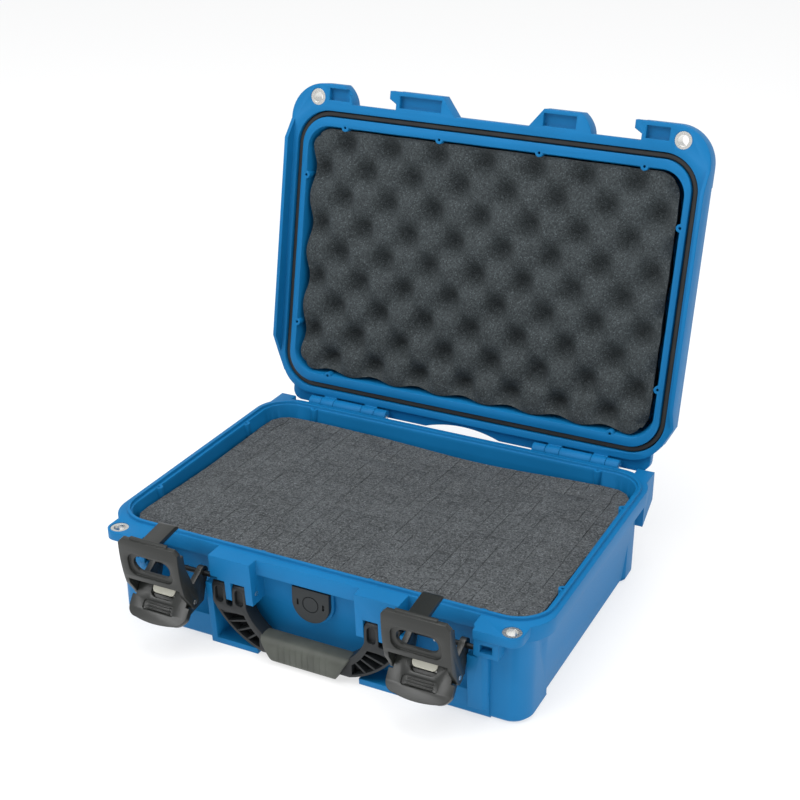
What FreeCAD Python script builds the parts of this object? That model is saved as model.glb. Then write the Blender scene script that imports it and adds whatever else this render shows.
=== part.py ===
import FreeCAD, Part
import Sketcher
import math
import os
import re

# Hard case with a hinged lid, two claw latches and a folding handle, in millimetres.
# Frame: the origin lies under the middle of the base, +X is to the right seen from the
# front, -Y is the latch side, +Y the hinge side and +Z is up. The lid is drawn shut and
# then swung open about its hinge, and each latch is drawn shut and then swung open.

SIZES = [
    ("parting_height", 78.5, "height of the plane where lid and base meet"),
    ("mouth_half_width", 168.0, "half of the base opening along X"),
    ("mouth_half_depth", 114.5, "half of the base opening along Y"),
    ("mouth_corner", 23.0, "corner radius of the base opening"),
    ("wall_thickness", 3.2, "moulded wall of base and lid"),
    ("floor_thickness", 4.2, "floor of the base"),
    ("wall_draft", 6.0, "how far each base wall leans in at the floor"),
    ("bottom_round", 5.0, "rounding along the bottom of the base"),
    ("seal_half_width", 171.5, "half of the seal ring along X, on its centre line"),
    ("seal_half_depth", 116.8, "half of the seal ring along Y, on its centre line"),
    ("seal_corner", 27.0, "corner radius of the seal ring's centre line"),
    ("ridge_width", 2.2, "ridge on the base that presses the seal"),
    ("ridge_height", 2.4, "height of that ridge above the parting plane"),
    ("flange_half_width", 176.5, "half of the base flange along X"),
    ("flange_front", 126.0, "reach of both flanges to the front"),
    ("flange_back", 125.0, "reach of both flanges to the back"),
    ("flange_thickness", 12.0, "thickness of the base flange"),
    ("flange_corner", 30.0, "corner radius of the flanges"),
    ("pillar_front", 135.0, "reach of the handle pillars at the parting plane"),
    ("pillar_foot", 129.0, "reach of the pillars at the floor"),
    ("pillar_inner", 42.0, "inner side of a handle pillar from the middle"),
    ("pillar_outer", 76.5, "outer side of a handle pillar from the middle"),
    ("lug_thickness", 6.0, "inner handle lug of a pillar"),
    ("finger_thickness", 5.0, "middle handle lug of a pillar"),
    ("outer_lug_thickness", 5.0, "outer handle lug, which is also the wall of the latch pocket"),
    ("lug_bottom", 43.0, "height of the lower end of the handle lugs"),
    ("slot_top", 58.6, "height of the top of the handle slots"),
    ("apron_height", 22.0, "height of the floor block under a latch"),
    ("foot_rail_height", 5.0, "height of the rail between the pillar feet"),
    ("column_inner", 130.6, "inner side of a corner column from the middle"),
    ("column_outer", 141.5, "outer side of a corner column from the middle"),
    ("pocket_back", 119.5, "back of the latch pocket"),
    ("ear_thickness", 7.0, "padlock ear of the base"),
    ("ear_radius", 8.8, "rounding of the base ear round its eyelet"),
    ("ear_slot_width", 9.0, "slot between column and ear"),
    ("ear_slot_height", 6.0, "height of that slot"),
    ("ear_slot_depth", 9.0, "depth of that slot"),
    ("ear_slot_drop", 5.0, "slot below the ear"),
    ("ear_box_low", 57.0, "lower end of the block that frames the slot"),
    ("ear_box_proud", 0.8, "how far that block stands in front of the column"),
    ("column_round", 4.5, "rounding of a corner column"),
    ("column_foot", 9.0, "height of a corner column's lower end"),
    ("column_step", 4.0, "step on the latch side of a corner column"),
    ("apron_set", 2.5, "floor block of a latch behind the column's face"),
    ("apron_edge", 3.0, "slanted lower edge of that block"),
    ("shoulder_front", 125.0, "reach of the corner shoulders to the front"),
    ("shoulder_rear", 115.0, "reach of the corner shoulders to the back"),
    ("shoulder_half", 167.8, "half of the base over its corner shoulders"),
    ("shoulder_corner", 16.0, "corner radius of the shoulders"),
    ("shoulder_end", 86.0, "where the shoulders meet the side walls"),
    ("shoulder_foot", 3.0, "slanted lower edge of the shoulders"),
    ("corner_lug", 158.0, "inner side of the lug at a rear corner"),
    ("corner_lug_width", 14.0, "width of that lug"),
    ("corner_lug_back", 131.0, "reach of that lug to the back"),
    ("corner_lug_low", 54.0, "lower end of that lug at its back"),
    ("eyelet_offset", 157.4, "padlock eyelet from the middle"),
    ("eyelet_front", 129.6, "padlock eyelet towards the front"),
    ("eyelet_bore", 8.6, "hole through an eyelet"),
    ("eyelet_wall", 1.2, "wall of an eyelet tube"),
    ("eyelet_rim", 1.3, "how far an eyelet's rim stands out from its tube"),
    ("eyelet_rim_thickness", 1.0, "thickness of that rim"),
    ("seat_clearance", 0.05, "room between a pressed piece and its seat"),
    ("running_clearance", 0.35, "room between pieces that turn or slide past each other"),
    ("boss_radius", 3.2, "boss for a panel screw"),
    ("boss_pilot", 2.2, "pilot hole of a panel screw boss"),
    ("boss_height", 12.0, "length of a panel screw boss"),
    ("boss_spread", 130.0, "outer panel screw bosses from the middle"),
    ("boss_inner_spread", 43.5, "inner panel screw bosses from the middle"),
    ("boss_side_spread", 64.0, "side panel screw bosses from the middle"),
    ("foam_gap", 0.6, "room between the foam and the wall where the wall is narrowest"),
    ("foam_corner", 20.0, "corner radius of the foam blocks"),
    ("foam_inset", 3.8, "room between the lid foam and the edge of the lid opening"),
    ("foam_lean", 2.6, "how much wider the base foam is at its top"),
    ("foam_drop", 5.0, "foam surface below the parting plane"),
    ("pad_thickness", 6.0, "foam pad under the cubed foam"),
    ("hinge_back", 131.6, "hinge axis towards the back"),
    ("hinge_height", 76.3, "height of the hinge axis"),
    ("hinge_inner", 79.0, "inner lid knuckle from the middle"),
    ("hinge_outer", 131.5, "outer end of the outer lid knuckle"),
    ("lid_knuckle", 12.8, "width of a lid knuckle"),
    ("base_knuckle", 11.0, "width of an outer base knuckle"),
    ("knuckle_radius", 5.6, "radius of the knuckles"),
    ("hinge_pin", 4.0, "diameter of the hinge pins"),
    ("lid_open", 100.9, "angle of the open lid from shut"),
    ("parting_gap", 0.3, "gap between the shut lid and the base"),
    ("lid_height", 40.5, "height of the lid above the parting plane"),
    ("lid_mouth_half_width", 164.0, "half of the lid opening along X"),
    ("lid_mouth_half_depth", 106.8, "half of the lid opening along Y"),
    ("lid_mouth_corner", 20.0, "corner radius of the lid opening"),
    ("lid_draft", 8.0, "how far each lid wall leans in at the top"),
    ("lid_top_round", 8.0, "rounding along the top of the lid"),
    ("lid_flange_thickness", 12.0, "thickness of the lid flange"),
    ("lid_block_thickness", 14.0, "thickness of the blocks along the lid's front edge"),
    ("lid_block_front", 141.0, "reach of those blocks"),
    ("lid_ledge", 8.0, "height of the ledge under a latch claw above the parting plane"),
    ("lid_ear_corner", 30.0, "corner radius of the lid ears"),
    ("notch_half", 20.0, "half of a latch notch at its back"),
    ("notch_nose", 6.0, "nose that hangs over one end of a notch"),
    ("notch_lean", 10.0, "slant of the other end of a notch"),
    ("notch_back", 125.0, "back of a latch notch"),
    ("block_inner", 44.0, "inner end of the inner block at its front"),
    ("block_slope", 12.0, "slant of that end"),
    ("skirt_half_width", 181.2, "half of the lid over its side skirts"),
    ("skirt_thickness", 3.0, "side skirt of the lid"),
    ("skirt_drop", 10.0, "reach of the side skirts below the parting plane"),
    ("skirt_front", 110.0, "front end of a side skirt"),
    ("skirt_back", 93.0, "back end of a side skirt"),
    ("skirt_fade", 16.0, "slanted ends of a side skirt"),
    ("lip_back", 134.0, "reach of the lip along the lid's back edge"),
    ("lip_rise", 4.6, "lower face of that lip above the parting plane"),
    ("lip_half", 156.0, "half of that lip, to where its corners begin"),
    ("lip_round", 9.0, "corner radius of that lip"),
    ("arch_half", 34.0, "half of the arch in the middle of that lip"),
    ("arch_round", 105.0, "radius of that arch"),
    ("groove_width", 5.2, "groove in the lid that holds the seal"),
    ("groove_depth", 6.2, "depth of that groove"),
    ("panel_inset", 26.0, "recessed panel of the lid's top from the top's edge"),
    ("panel_depth", 1.4, "depth of that panel"),
    ("seal_width", 4.2, "width of the seal"),
    ("seal_gap", 0.4, "gap between the seal and the ridge with the lid shut"),
    ("seal_round", 1.1, "rounding of the seal's face"),
    ("lid_foam_rise", 1.0, "peaks of the lid foam above the parting plane"),
    ("dimple_depth", 14.0, "valleys of the lid foam below its peaks"),
    ("dimple_pitch", 42.0, "spacing of the valleys in a row"),
    ("dimple_row", 25.0, "spacing of the rows"),
    ("dimple_mouth", 13.0, "radius of a valley at its top"),
    ("dimple_floor", 4.5, "radius of a valley at its bottom"),
    ("block_hollow", 5.0, "depth of the hollows in the lid's front blocks"),
    ("block_rim", 2.0, "rim of those hollows"),
    ("notch_end_round", 24.0, "rounding of the slanted end of a notch"),
    ("latch_offset", 104.6, "middle of a latch from the middle of the case"),
    ("axle_front", 131.5, "latch axle towards the front"),
    ("axle_height", 60.0, "height of the latch axle"),
    ("axle_diameter", 4.0, "latch axle"),
    ("link_reach", 22.8, "claw pin from the latch axle"),
    ("link_angle", 15.3, "claw pin out from straight below the axle, latch shut"),
    ("lever_open", 37.0, "swing of the lever from shut to open"),
    ("lever_half", 21.4, "half width of a lever"),
    ("lever_arm", 4.5, "thickness of a lever's side arms"),
    ("lever_boss", 5.2, "radius of a lever's bosses"),
    ("tab_length", 46.0, "tip of the lever's tab from the axle"),
    ("tab_thickness", 5.0, "thickness of the tab"),
    ("tab_half", 24.4, "half width of the tab"),
    ("tab_round", 9.0, "rounded corners of the tab"),
    ("tab_bow", 70.0, "radius of the tab's lower edge"),
    ("tab_panel", 1.2, "depth of the finger panel in the tab"),
    ("lever_heel", 11.0, "heel of a lever's side arm behind the axle"),
    ("lever_heel_drop", 19.0, "heel of a lever's side arm below the axle"),
    ("tab_flare", 2.5, "how far the tab's tip flares out"),
    ("claw_half", 25.0, "half width of a claw"),
    ("claw_cheek", 3.2, "thickness of a claw's cheeks"),
    ("claw_tilt", 8.0, "lean of the open claw"),
    ("claw_reach", 11.0, "outer face of the claw in front of its pin"),
    ("claw_throat", 6.6, "depth of a claw cheek where it passes in front of the lid"),
    ("claw_plate", 3.6, "thickness of the claw's plate"),
    ("claw_bulge", 1.6, "swell of the claw's plate"),
    ("claw_skirt", 12.0, "lower edge of the claw's plate above its pin"),
    ("claw_boss", 5.0, "radius of a claw's lower end"),
    ("claw_lip", 29.0, "reach of the hook behind the claw's outer face"),
    ("claw_lip_half", 7.0, "half width of the hook"),
    ("claw_lip_thickness", 3.6, "thickness of the hook"),
    ("window_half", 15.5, "half width of the claw's window"),
    ("window_height", 14.0, "height of the claw's window"),
    ("window_rise", 32.0, "middle of the window above the claw pin"),
    ("claw_pin", 3.6, "diameter of the claw pin"),
    ("lock_half", 9.5, "half width of the slide lock"),
    ("lock_height", 10.0, "height of the slide lock"),
    ("lock_thickness", 3.4, "thickness of the slide lock"),
    ("lock_rise", 9.0, "top of the slide lock above the claw pin"),
    ("lock_travel", 3.0, "travel of the slide lock"),
    ("lock_corner", 4.0, "corner radius of the slide lock's recess"),
    ("lock_round", 0.8, "rounding of the slide lock's edge"),
    ("spring_leg", 8.0, "straight leg at each end of the latch spring"),
    ("spring_wire", 1.0, "wire of the latch spring"),
    ("spring_gap", 0.3, "gap between a latch spring's coil and its axle"),
    ("spring_pitch", 1.6, "pitch of the latch spring"),
    ("handle_front", 126.5, "handle pivot towards the front"),
    ("handle_height", 51.0, "height of the handle pivot"),
    ("handle_pin", 4.0, "diameter of the handle pins"),
    ("prong_radius", 6.0, "rounded end of a handle prong"),
    ("handle_drop", 39.0, "middle of the grip below the pivot"),
    ("handle_depth", 12.0, "handle from front to back"),
    ("fork_depth", 11.6, "depth of the fork below the pivot"),
    ("bar_half", 36.0, "half of the straight bar, where the arms begin"),
    ("arm_round", 66.0, "outer curve of an arm"),
    ("arm_inner_round", 40.0, "inner curve of an arm"),
    ("grip_round", 6.5, "rounding of the grip's section"),
    ("grip_half", 30.0, "half length of the grip"),
    ("grip_height", 18.0, "height of the grip"),
    ("grip_depth", 15.0, "depth of the grip"),
    ("core_height", 12.0, "height of the handle bar inside the grip"),
    ("channel_depth", 3.5, "depth of the channels in the handle's front"),
    ("arm_channel", 7.0, "depth of the channels in the handle's arms"),
    ("channel_wall", 2.0, "rim round those channels"),
    ("valve_half", 15.0, "half width of the pressure valve's cap"),
    ("valve_height", 30.5, "height of the cap"),
    ("valve_top", 66.2, "height of the cap's top edge"),
    ("valve_thickness", 3.6, "thickness of the cap"),
    ("valve_seat", 118.8, "face that the valve sits on, towards the front"),
    ("valve_collar", 2.0, "collar round the cap"),
    ("valve_bore", 12.0, "vent hole through the wall"),
]

doc = FreeCAD.newDocument("HardCase")
sheet = doc.addObject("Spreadsheet::Sheet", "Sizes")
for row, (alias, value, note) in enumerate(SIZES, start=1):
    sheet.set("A%d" % row, alias)
    sheet.set("B%d" % row, str(value))
    sheet.setAlias("B%d" % row, alias)
    sheet.set("C%d" % row, note)
doc.recompute()

ALIASES = {alias for alias, value, note in SIZES}
WORD = re.compile(r"[a-z][a-z_]*")
ORIGIN, X_AXIS, Y_AXIS = -1, -1, -2
SPRING_TURNS = 2
sub_parts = []


def bind(text):
    """An expression with each named size read from the sheet."""
    return WORD.sub(lambda word: "Sizes." + word.group(0) if word.group(0) in ALIASES else word.group(0), text)


def number(text):
    """The present value of an expression."""
    return float(sheet.evalExpression(text))


def new_body(label):
    """A PartDesign body that becomes one sub-part."""
    body = doc.addObject("PartDesign::Body", label)
    body.Label = label
    sub_parts.append(body)
    return body


def settle(feature):
    """Recompute and stop if the feature failed."""
    doc.recompute()
    if "Invalid" in feature.State or "Error" in feature.State or feature.Shape.isNull():
        raise RuntimeError("%s failed: %s" % (feature.Name, feature.State))
    return feature


def origin_plane(body, role):
    """One of the body's own origin planes."""
    return [item for item in body.Origin.OriginFeatures if item.Role == role][0]


def point_ties(item, end, place):
    """Constraints that tie one end of a sketch line or arc to the sketch's origin, with their expressions."""
    ties = []
    for axis, kind, text in ((Y_AXIS, "DistanceX", place[0]), (X_AXIS, "DistanceY", place[1])):
        if text == "0":
            ties.append((Sketcher.Constraint("PointOnObject", item, end, axis), None))
        else:
            ties.append((Sketcher.Constraint(kind, ORIGIN, 1, item, end, number(text)), text))
    return ties


def add_ties(drawing, ties):
    """Add constraints in one go and bind those that have an expression."""
    indices = drawing.addConstraint([constraint for constraint, text in ties])
    for index, (constraint, text) in zip(indices, ties):
        if text:
            drawing.setExpression("Constraints[%d]" % index, bind(text))


def arc_between(start, end, radius, turn):
    """An arc from start to end that turns left (turn 1) or right (turn -1), under a half circle."""
    chord = end - start
    half = chord.Length / 2
    middle = (start + end) * 0.5
    left = FreeCAD.Vector(-chord.y, chord.x, 0).normalize()
    rise = max(radius * radius - half * half, 0.0) ** 0.5
    centre = middle + left * (rise * turn)
    crown = centre - left * (radius * turn)
    return Part.Arc(start, crown, end)


def draw_outline(drawing, outline):
    """Draw a closed outline. A corner is (u, v), or (u, v, radius, turn) where an arc leaves it."""
    first = drawing.GeometryCount
    count = len(outline)
    spots = [FreeCAD.Vector(number(corner[0]), number(corner[1]), 0) for corner in outline]
    ends = []
    for index, corner in enumerate(outline):
        start, end = spots[index], spots[(index + 1) % count]
        if len(corner) == 2:
            drawing.addGeometry(Part.LineSegment(start, end), False)
            ends.append((1, 2))
        else:
            drawing.addGeometry(arc_between(start, end, number(corner[2]), corner[3]), False)
            ends.append((1, 2) if corner[3] > 0 else (2, 1))
    ties = []
    for index, corner in enumerate(outline):
        following = (index + 1) % count
        ties.append((Sketcher.Constraint("Coincident", first + index, ends[index][1],
                                         first + following, ends[following][0]), None))
        ties += point_ties(first + index, ends[index][0], corner)
        if len(corner) > 2:
            ties.append((Sketcher.Constraint("Radius", first + index, number(corner[2])), corner[2]))
    add_ties(drawing, ties)


def draw_circle(drawing, u, v, radius):
    """Draw a circle about (u, v)."""
    middle = FreeCAD.Vector(number(u), number(v), 0)
    item = drawing.addGeometry(Part.Circle(middle, FreeCAD.Vector(0, 0, 1), number(radius)), False)
    ties = point_ties(item, 3, (u, v))
    ties.append((Sketcher.Constraint("Radius", item, number(radius)), radius))
    add_ties(drawing, ties)


def sketch(body, name, plane, lift, outlines=(), circles=()):
    """A sketch on one of the body's origin planes, lifted along the plane's normal."""
    drawing = body.newObject("Sketcher::SketchObject", body.Name + "_" + name)
    drawing.AttachmentSupport = [(origin_plane(body, plane), "")]
    drawing.MapMode = "FlatFace"
    drawing.setExpression("AttachmentOffset.Base.z", bind(lift))
    for outline in outlines:
        draw_outline(drawing, outline)
    for circle in circles:
        draw_circle(drawing, *circle)
    return settle(drawing)


def pad(body, drawing, length, reverse=False, taper=None):
    """Add the sketch's area, drawn out along its normal, with walls that lean out by a taper in degrees."""
    feature = body.newObject("PartDesign::Pad", drawing.Name + "_pad")
    feature.Profile = drawing
    feature.setExpression("Length", bind(length))
    feature.Reversed = reverse
    if taper:
        feature.setExpression("TaperAngle", bind(taper))
    return settle(feature)


def pocket(body, drawing, length, reverse=False, taper=None):
    """Cut the sketch's area against its normal, and check that something was cut."""
    before = body.Shape.Volume
    feature = body.newObject("PartDesign::Pocket", drawing.Name + "_cut")
    feature.Profile = drawing
    feature.setExpression("Length", bind(length))
    feature.Reversed = reverse
    if taper:
        feature.setExpression("TaperAngle", bind(taper))
    settle(feature)
    if body.Shape.Volume >= before:
        raise RuntimeError("%s cut nothing" % feature.Name)
    return feature


def mirror(body, originals):
    """Repeat features on the other side of the YZ plane."""
    feature = body.newObject("PartDesign::Mirrored", originals[0].Name + "_mirrored")
    feature.Originals = originals
    feature.MirrorPlane = (origin_plane(body, "YZ_Plane"), [""])
    body.Tip = feature
    return settle(feature)


def round_edges(body, radius, chosen):
    """Fillet the edges of the body's present shape for which chosen(edge) is true."""
    base = body.Tip
    names = ["Edge%d" % place for place, edge in enumerate(base.Shape.Edges, start=1) if chosen(edge)]
    feature = body.newObject("PartDesign::Fillet", base.Name + "_round")
    feature.Base = (base, names)
    feature.setExpression("Radius", bind(radius))
    return settle(feature)


def rounded(half_x, front, back, corner):
    """A rectangle with round corners, as an outline: half width, front reach, back reach."""
    return [
        ("-(%s) + %s" % (half_x, corner), "-(%s)" % front),
        ("%s - %s" % (half_x, corner), "-(%s)" % front, corner, 1),
        (half_x, "-(%s) + %s" % (front, corner)),
        (half_x, "%s - %s" % (back, corner), corner, 1),
        ("%s - %s" % (half_x, corner), back),
        ("-(%s) + %s" % (half_x, corner), back, corner, 1),
        ("-(%s)" % half_x, "%s - %s" % (back, corner)),
        ("-(%s)" % half_x, "-(%s) + %s" % (front, corner), corner, 1),
    ]


def box(left, low, right, high):
    """A rectangle as an outline."""
    return [(left, low), (right, low), (right, high), (left, high)]


def rib(body, name, outline, start, width):
    """A slab between two X positions, whose outline is drawn in Y and Z."""
    return pad(body, sketch(body, name, "YZ_Plane", start, [outline]), width)


def blend(body, name, low, low_outline, high, high_outline):
    """A solid between two outlines at two heights."""
    first = sketch(body, name + "_low", "XY_Plane", low, [low_outline])
    second = sketch(body, name + "_high", "XY_Plane", high, [high_outline])
    feature = body.newObject("PartDesign::AdditiveLoft", first.Name + "_blend")
    feature.Profile = (first, [""])
    feature.Sections = [(second, [""])]
    feature.Ruled = True
    return settle(feature)


def slot(left, low, right, high, corner):
    """A rectangle with round corners between two X positions and two heights."""
    return [(left + " + " + corner, low), (right + " - " + corner, low, corner, 1), (right, low + " + " + corner),
            (right, high + " - " + corner, corner, 1), (right + " - " + corner, high),
            (left + " + " + corner, high, corner, 1), (left, high + " - " + corner),
            (left, low + " + " + corner, corner, 1)]


def swing_lid(sub_part):
    """Turn a sub-part that was drawn with the lid shut to the open lid's place."""
    sub_part.Placement = FreeCAD.Placement(FreeCAD.Vector(), FreeCAD.Rotation(FreeCAD.Vector(-1, 0, 0), 1))
    sub_part.setExpression("Placement.Rotation.Angle", bind("lid_open"))
    sub_part.setExpression("Placement.Base.y",
                           bind("hinge_back * (1 - cos(lid_open)) - hinge_height * sin(lid_open)"))
    sub_part.setExpression("Placement.Base.z",
                           bind("hinge_height * (1 - cos(lid_open)) + hinge_back * sin(lid_open)"))


def place(sub_part, x, y, z, angle=None):
    """Put a sub-part's own origin at a point, turned about X by an angle in degrees."""
    turn = FreeCAD.Rotation(FreeCAD.Vector(1, 0, 0), 1 if angle else 0)
    sub_part.Placement = FreeCAD.Placement(FreeCAD.Vector(), turn)
    for axis, text in (("x", x), ("y", y), ("z", z)):
        sub_part.setExpression("Placement.Base." + axis, bind(text))
    if angle:
        sub_part.setExpression("Placement.Rotation.Angle", bind(angle))


PILLAR_AT = "(pillar_foot + (pillar_front - pillar_foot) * (%s) / parting_height)"
WALL_INSIDE = "mouth_half_depth - wall_draft"
WALL_INSIDE_X = "mouth_half_width - wall_draft"
BASE_TAPER = "atan(wall_draft / parting_height)"
LID_TAPER = "atan(lid_draft / lid_height)"
LID_LOW = "(parting_height + parting_gap)"
BOTH_SIDES = (("left", "-"), ("right", ""))


def front_slab(low, high):
    """Side outline of a piece of the front between two heights, from the leaning front into the wall."""
    return [("-" + PILLAR_AT % low, low), ("-(%s)" % WALL_INSIDE, low),
            ("-(%s)" % WALL_INSIDE, high), ("-" + PILLAR_AT % high, high)]


def column_section(height):
    """Section of a corner column at a height, with a rounded front."""
    reach, wall = "-" + PILLAR_AT % height, "-(%s)" % WALL_INSIDE
    return [("column_inner", wall), ("column_inner", reach + " + column_round", "column_round", 1),
            ("column_inner + column_round", reach), ("column_outer - column_round", reach, "column_round", 1),
            ("column_outer", reach + " + column_round"), ("column_outer", wall)]


def shoulder(side, shrink):
    """Outline of a corner shoulder of the base, at its front or back, made smaller all round by an amount."""
    half, corner = "(shoulder_half - %s)" % shrink, "(shoulder_corner - %s)" % shrink
    run = [("column_inner", "shoulder_end"), ("column_inner", "(%s - %s)" % (side, shrink)),
           (half + " - " + corner, "(%s - %s)" % (side, shrink), corner, 1),
           (half, "(%s - %s) - %s" % (side, shrink, corner)), (half, "shoulder_end"),
           (half + " - " + corner, "shoulder_end - shoulder_corner")]
    if side == "shoulder_front":
        return [(corner[0], "-(%s)" % corner[1]) + tuple(corner[2:]) for corner in run]
    return [corner[:2] if len(corner) == 2 else corner[:2] + (corner[2], -1) for corner in run]


def shell_base():
    """Lower half: drafted tub, flange with sealing ridge, pillars, latch pockets, ears and knuckles."""
    body = new_body("base_shell")
    low = rounded(WALL_INSIDE_X + " + wall_thickness", WALL_INSIDE + " + wall_thickness",
                  WALL_INSIDE + " + wall_thickness", "(mouth_corner + wall_thickness - wall_draft)")
    pad(body, sketch(body, "tub", "XY_Plane", "0", [low]), "parting_height", taper=BASE_TAPER)
    round_edges(body, "bottom_round", lambda edge: edge.BoundBox.ZMax < 0.01)
    pad(body, sketch(body, "flange", "XY_Plane", "parting_height - flange_thickness",
                     [rounded("flange_half_width", "flange_front", "flange_back", "flange_corner")]),
        "flange_thickness")
    front = [
        rib(body, "pillar", front_slab("slot_top", "parting_height"), "pillar_inner", "pillar_outer - pillar_inner"),
        rib(body, "inner_lug", front_slab("lug_bottom", "slot_top"), "pillar_inner", "lug_thickness"),
        rib(body, "finger", front_slab("lug_bottom", "slot_top"),
            "(pillar_inner + lug_thickness + pillar_outer - finger_thickness) / 2", "finger_thickness"),
        rib(body, "outer_lug", front_slab("0", "slot_top - outer_lug_thickness"),
            "pillar_outer", "outer_lug_thickness"),
        rib(body, "foot_rail", front_slab("0", "foot_rail_height"), "pillar_inner", "pillar_outer - pillar_inner"),
        rib(body, "apron", [("-pillar_foot + apron_set + apron_edge", "0"), ("-(%s)" % WALL_INSIDE, "0"),
                            ("-(%s)" % WALL_INSIDE, "apron_height + outer_lug_thickness * 2"),
                            ("-" + PILLAR_AT % "apron_height" + " + apron_set", "apron_height"),
                            ("-pillar_foot + apron_set", "apron_edge")],
            "pillar_outer + outer_lug_thickness", "column_outer - pillar_outer - outer_lug_thickness"),
        rib(body, "column_step", front_slab("column_foot", "slot_top - outer_lug_thickness"),
            "column_inner - column_step", "column_step + column_round"),
        blend(body, "column", "column_foot", column_section("column_foot"), "parting_height",
              column_section("parting_height")),
        rib(body, "ear_box", [("-pillar_front - ear_box_proud", "ear_box_low"), ("-(%s)" % WALL_INSIDE, "ear_box_low"),
                              ("-(%s)" % WALL_INSIDE, "parting_height - ear_thickness"),
                              ("-pillar_front - ear_box_proud", "parting_height - ear_thickness")],
            "column_outer - ear_slot_width", "ear_slot_width * 2"),
        rib(body, "corner_lug", [(WALL_INSIDE, "corner_lug_low - corner_lug_width"),
                                 ("corner_lug_back", "corner_lug_low"), ("corner_lug_back", "parting_height"),
                                 (WALL_INSIDE, "parting_height")], "corner_lug", "corner_lug_width"),
    ]
    for side in ("shoulder_front", "shoulder_rear"):
        front.append(pad(body, sketch(body, side, "XY_Plane", "shoulder_foot", [shoulder(side, "0")]),
                         "parting_height - flange_thickness - shoulder_foot"))
        front.append(pad(body, sketch(body, side + "_foot", "XY_Plane", "0", [shoulder(side, "shoulder_foot")]),
                         "shoulder_foot", taper="45"))
    ear = [("column_outer - ear_radius", "-mouth_half_depth"),
           ("column_outer - ear_radius", "-eyelet_front - ear_radius"),
           ("eyelet_offset", "-eyelet_front - ear_radius", "ear_radius", 1),
           ("eyelet_offset + ear_radius", "-eyelet_front"),
           ("eyelet_offset + ear_radius", "flange_corner - flange_front")]
    front.append(pad(body, sketch(body, "ear", "XY_Plane", "parting_height - ear_thickness", [ear]), "ear_thickness"))
    knuckle = [(WALL_INSIDE, "hinge_height - knuckle_radius * 3.2"),
               ("hinge_back + knuckle_radius", "hinge_height", "knuckle_radius", 1),
               ("hinge_back", "hinge_height + knuckle_radius", "knuckle_radius", 1),
               ("hinge_back - knuckle_radius", "hinge_height"),
               (WALL_INSIDE, "hinge_height")]
    spans = (("hinge_inner - base_knuckle", "base_knuckle"),
             ("hinge_inner + lid_knuckle", "hinge_outer - hinge_inner - lid_knuckle * 2"),
             ("hinge_outer", "base_knuckle"))
    for place_index, (start, width) in enumerate(spans):
        front.append(rib(body, "knuckle_%d" % place_index, knuckle, start, width))
    mirror(body, front)
    shield = valve_outline("valve_collar")
    pad(body, sketch(body, "valve_seat", "XZ_Plane", WALL_INSIDE, [shield]), "valve_seat - (%s)" % WALL_INSIDE)
    mouth = rounded("mouth_half_width", "mouth_half_depth", "mouth_half_depth", "mouth_corner")
    pocket(body, sketch(body, "room", "XY_Plane", "parting_height", [mouth]),
           "parting_height - floor_thickness", taper="-" + BASE_TAPER)
    pad(body, sketch(body, "ridge", "XY_Plane", "parting_height", [seal_ring("ridge_width / 2"),
                                                                  seal_ring("-ridge_width / 2")]), "ridge_height")
    pad(body, sketch(body, "bosses", "XY_Plane", "parting_height - boss_height", (), boss_circles(
        "boss_radius", "mouth_half_width", "mouth_half_depth")), "boss_height")
    cuts = [
        pocket(body, sketch(body, "pocket_mouth", "XY_Plane", "parting_height", [
            box("pillar_outer", "-pillar_front - ear_radius", "column_inner", "-pocket_back")]),
            "parting_height - slot_top + outer_lug_thickness"),
        pocket(body, sketch(body, "axle_bore", "YZ_Plane", "pillar_outer - lug_thickness", (), [
            ("-axle_front", "axle_height", "axle_diameter / 2 + seat_clearance")]),
            "column_inner - pillar_outer + lug_thickness * 2", True),
        pocket(body, sketch(body, "handle_bore", "YZ_Plane", "pillar_inner", (), [
            ("-handle_front", "handle_height", "handle_pin / 2 + seat_clearance")]),
            "pillar_outer - pillar_inner + outer_lug_thickness", True),
        pocket(body, sketch(body, "hinge_bore", "YZ_Plane", "hinge_inner - base_knuckle", (), [
            ("hinge_back", "hinge_height", "hinge_pin / 2 + seat_clearance")]),
            "hinge_outer - hinge_inner + base_knuckle * 2", True),
        pocket(body, sketch(body, "ear_slot", "XZ_Plane", "eyelet_front + ear_radius", [
            box("column_outer - ear_slot_width / 2", "parting_height - ear_thickness - ear_slot_drop - ear_slot_height",
                "column_outer + ear_slot_width / 2", "parting_height - ear_thickness - ear_slot_drop")]),
            "ear_slot_depth"),
        pocket(body, sketch(body, "eyelet_bore", "XY_Plane", "parting_height", (), [
            ("eyelet_offset", "-eyelet_front", "eyelet_bore / 2 + eyelet_wall + seat_clearance")]), "ear_thickness"),
        pocket(body, sketch(body, "eyelet_seat", "XY_Plane", "parting_height", (), [
            ("eyelet_offset", "-eyelet_front", "eyelet_bore / 2 + eyelet_wall + eyelet_rim + seat_clearance")]),
            "eyelet_rim_thickness + running_clearance"),
    ]
    mirror(body, cuts)
    pocket(body, sketch(body, "pilots", "XY_Plane", "parting_height", (), boss_circles(
        "boss_pilot / 2", "mouth_half_width", "mouth_half_depth")), "boss_height")
    pocket(body, sketch(body, "vent", "XZ_Plane", "valve_seat", (), [
        ("0", "valve_top - valve_height / 2", "valve_bore / 2")]), "valve_seat - (%s)" % WALL_INSIDE)
    return body


def seal_ring(offset):
    """The seal's centre line moved outwards by an offset."""
    half_x = "seal_half_width + (%s)" % offset
    half_y = "seal_half_depth + (%s)" % offset
    return rounded(half_x, half_y, half_y, "(seal_corner + (%s))" % offset)


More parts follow.
